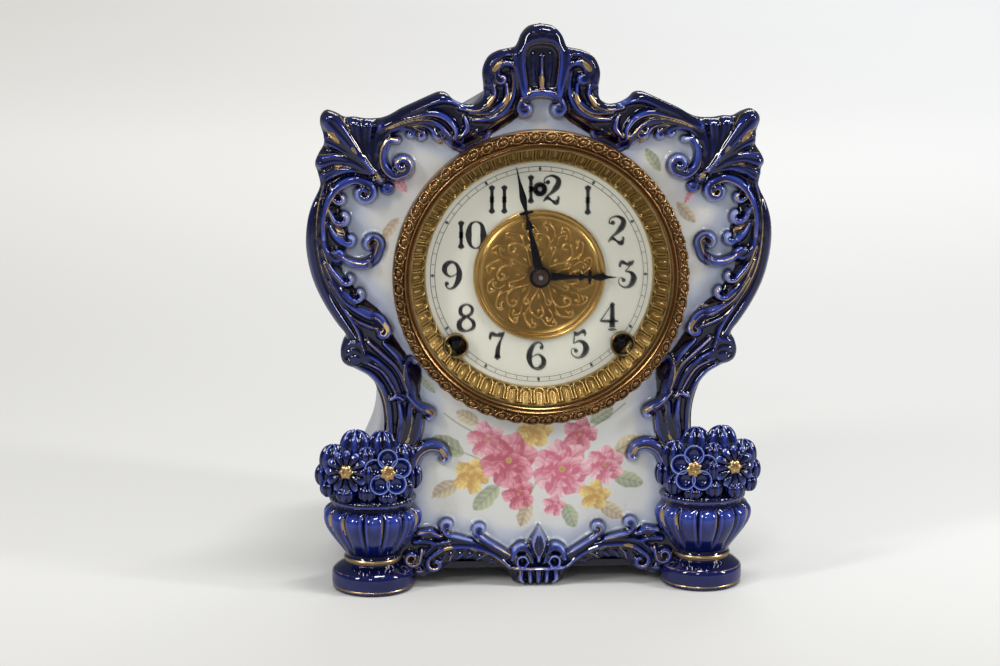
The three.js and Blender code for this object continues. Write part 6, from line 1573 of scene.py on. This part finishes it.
def hand(name, shape, turn, front, boss, body, node):
    """A crowned hand with its round boss; depths run back from its front."""
    edge, back = front + 0.28, front + 0.7
    spots = np.array(shape) * HAND_LENGTH
    places = np.linspace(spots[0, 0], spots[-1, 0], 150)
    half = np.maximum(np.interp(places, spots[:, 0], spots[:, 1]), 0.12)
    corners, faces = [], []
    for place_at, wide in zip(places, half):
        crown = min(0.28, wide * 0.5)
        flank = edge - crown * 0.7
        for across, depth in ((-wide, back), (-wide, edge), (-wide * 0.5, flank), (0, edge - crown),
                              (wide * 0.5, flank), (wide, edge), (wide, back)):
            corners.append((across, depth, place_at))
    count = len(places)
    faces = [f[::-1] for f in grid_faces(count, 7, wrap_columns=True)]
    faces.append(tuple(range(7)))
    faces.append(tuple(range(7 * count - 1, 7 * count - 8, -1)))
    ring = [(0.9, back), (boss, back), (boss + 0.1, front + 0.4), (boss - 0.2, front + 0.1),
            (boss - 0.9, front),
            (boss - 1.4, front + 0.15), (2, front + 0.15), (0.9, front + 0.15)]
    base = len(corners)
    sides = 64
    for k in range(sides):
        angle = 2 * math.pi * k / sides
        corners.extend((r * math.sin(angle), d, r * math.cos(angle)) for r, d in ring)
    faces += [tuple(v + base for v in f)
              for f in grid_faces(sides, len(ring), wrap_rows=True, wrap_columns=True)]
    corners = np.array(corners)
    c, s = math.cos(turn), math.sin(turn)
    x = corners[:, 0] * c + corners[:, 2] * s
    z = -corners[:, 0] * s + corners[:, 2] * c
    points = np.stack([x, FACE + corners[:, 1], z + DIAL_Z], 1)
    piece = make_mesh(name, points * MM, faces, FINISHES["blue_steel"], 40)
    face_outward(piece)
    place(piece, body, [node])


case_body()
for side in ("right", "left"):
    urn(side)
    bouquet(side)
    rear_foot(side)
    winding_collar(side)
bezel()
sash()
medallion()
back_door()
dial_print()
hand("hour_hand_blued", HOUR_SHAPE, 1.59, -3.0, 5.0, "hour", "hour_hand")
hand("minute_hand_blued", MINUTE_SHAPE, -0.22, -5.2, 5.4, "minute", "minute_hand")

# Plain finishes of the carried solids
# The winding arbors and the regulator grommet take the near-black steel so their holes read dark, painted
# shade in the holes; the nut's bronze is its own colour
DARKENED = {"regulator_grommet": "blue_steel", "time_winding_arbor": "blue_steel",
            "strike_winding_arbor": "blue_steel",
            "hand_nut": "bronze"}
for node_name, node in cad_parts.items():
    carried = [material.name.split(".")[0] for material in node.data.materials if material]
    slot_name = carried[0] if carried else ""
    finish = FINISHES[DARKENED.get(node_name, SLOT_FINISH.get(slot_name, "brass"))]
    node.data.materials.clear()
    node.data.materials.append(finish)


# Stage, light and camera, in metres
def table_top():
    """A wide pale table, whose far part glows softly in the picture and looks dim in reflections."""
    mesh = bpy.data.meshes.new("floor")
    mesh.from_pydata([(-9, -7, 0), (9, -7, 0), (9, 14, 0), (-9, 14, 0)], [], [(0, 1, 2, 3)])
    floor = bpy.data.objects.new("floor", mesh)
    bpy.context.scene.collection.objects.link(floor)
    f = Finish("pale_table")
    place_at = f.add("ShaderNodeSeparateXYZ", None, {"Vector": f.spot()})
    away, across = Value(f, place_at.outputs["Y"]), Value(f, place_at.outputs["X"])
    soft = f.noise(1.2, 2.0)
    # The table's colour is darker near the front and on the left, and lighter far off and to the right:
    # painted shade and light
    near = f.mix(across.rise(-0.6, 0.6), (0.62, 0.612, 0.588), (0.67, 0.67, 0.65))
    near = f.mix(away.rise(-0.35, 0.05), (0.51, 0.503, 0.487), near)
    far = f.mix(across.rise(-1.5, 1.5), (0.86, 0.84, 0.81), (0.96, 0.96, 0.96))
    colour = f.mix(away.rise(0.1, 2.5), near, far)
    colour = f.mix(soft.rise(0.3, 0.7) * 0.05, colour, (0.7, 0.7, 0.7))
    mirrored = f.add("ShaderNodeLightPath").outputs["Is Glossy Ray"]
    glow = f.mix(across.rise(-1.2, 1.2), (0.2, 0.19, 0.165), (0.34, 0.34, 0.34))
    glow = f.mix(away.rise(0.2, 2.0), (0.0, 0.0, 0.0), glow)
    watched = f.add("ShaderNodeLightPath").outputs["Is Camera Ray"]
    f.surface(Base_Color=f.mix(mirrored, colour, (0.3, 0.3, 0.32)), Roughness=0.6, Specular_IOR_Level=0.1,
              Emission_Color=f.mix(watched, (0.0, 0.0, 0.0), glow), Emission_Strength=1.0)
    mesh.materials.append(f.material)


def surroundings():
    """Soft light from all round, dim in reflections and plain grey where the picture shows it."""
    world = bpy.data.worlds.new("studio")
    bpy.context.scene.world = world
    world.use_nodes = True
    tree = world.node_tree
    tree.nodes.clear()
    path = tree.nodes.new("ShaderNodeLightPath")

    def background(tint, strength):
        node = tree.nodes.new("ShaderNodeBackground")
        node.inputs[0].default_value = (*tint, 1)
        node.inputs[1].default_value = strength
        return node.outputs[0]

    def by_ray(kind, otherwise, chosen):
        mix = tree.nodes.new("ShaderNodeMixShader")
        tree.links.new(path.outputs[kind], mix.inputs[0])
        tree.links.new(otherwise, mix.inputs[1])
        tree.links.new(chosen, mix.inputs[2])
        return mix.outputs[0]

    plain = by_ray("Is Glossy Ray", background((0.98, 0.99, 1), 0.64), background((0.9, 0.94, 1), 0.12))
    whole = by_ray("Is Camera Ray", plain, background((0.83, 0.835, 0.84), 1.0))
    tree.links.new(whole, tree.nodes.new("ShaderNodeOutputWorld").inputs[0])


# Lamps: name, place and size in metres, power, tint
LAMPS = (
    ("window_left", (-1.0, -0.75, 0.9), (0.15, 0.5), 7.2, (1, 0.99, 0.97)),
    ("window_right", (1.1, -0.5, 0.7), (0.12, 0.48), 6.4, (0.97, 0.98, 1)),
    ("sky_top", (0.15, -0.3, 1.3), (0.42, 0.12), 6.2, (1, 1, 1)),
    ("window_front", (-0.35, -1.6, 1.1), (0.22, 0.12), 3.4, (1, 1, 1)),
    ("window_back", (0.35, 1.2, 1.3), (1.0, 0.5), 6.0, (1, 1, 1)),
)
LIT_SPOT = Vector((0, 0, 0.14))


def lamps():
    for name, place_at, size, power, tint in LAMPS:
        lamp = bpy.data.lights.new(name, "AREA")
        lamp.shape = "RECTANGLE"
        lamp.size, lamp.size_y = size
        lamp.energy = power
        lamp.color = tint
        item = bpy.data.objects.new(name, lamp)
        item.location = place_at
        aim = LIT_SPOT - Vector(place_at)
        item.rotation_euler = aim.to_track_quat("-Z", "Y").to_euler()
        bpy.context.scene.collection.objects.link(item)


def photo_camera():
    """A camera 1.2 m away, turned a little to the right and looking down."""
    yaw, pitch, roll = math.radians(4), math.radians(11.5), math.radians(0.23)
    target = Vector((-19.76, -39.95, 130.93)) * MM
    ahead = Vector((math.sin(yaw) * math.cos(pitch), math.cos(yaw) * math.cos(pitch), -math.sin(pitch)))
    right = Vector((math.cos(yaw), -math.sin(yaw), 0))
    up = right.cross(ahead)
    turned_right = right * math.cos(roll) + up * math.sin(roll)
    turned_up = up * math.cos(roll) - right * math.sin(roll)
    camera = bpy.data.objects.new("camera", bpy.data.cameras.new("camera"))
    camera.data.lens = 86.13
    camera.data.sensor_width = 36
    camera.matrix_world = Matrix((
        (turned_right.x, turned_up.x, -ahead.x, 0), (turned_right.y, turned_up.y, -ahead.y, 0),
        (turned_right.z, turned_up.z, -ahead.z, 0), (0, 0, 0, 1)))
    distance = 1.2
    camera.location = target - ahead * distance
    camera.data.clip_start = 0.05
    camera.data.clip_end = 30
    bpy.context.scene.collection.objects.link(camera)
    bpy.context.scene.camera = camera


table_top()
surroundings()
lamps()
photo_camera()
bpy.context.scene.view_settings.view_transform = "Standard"
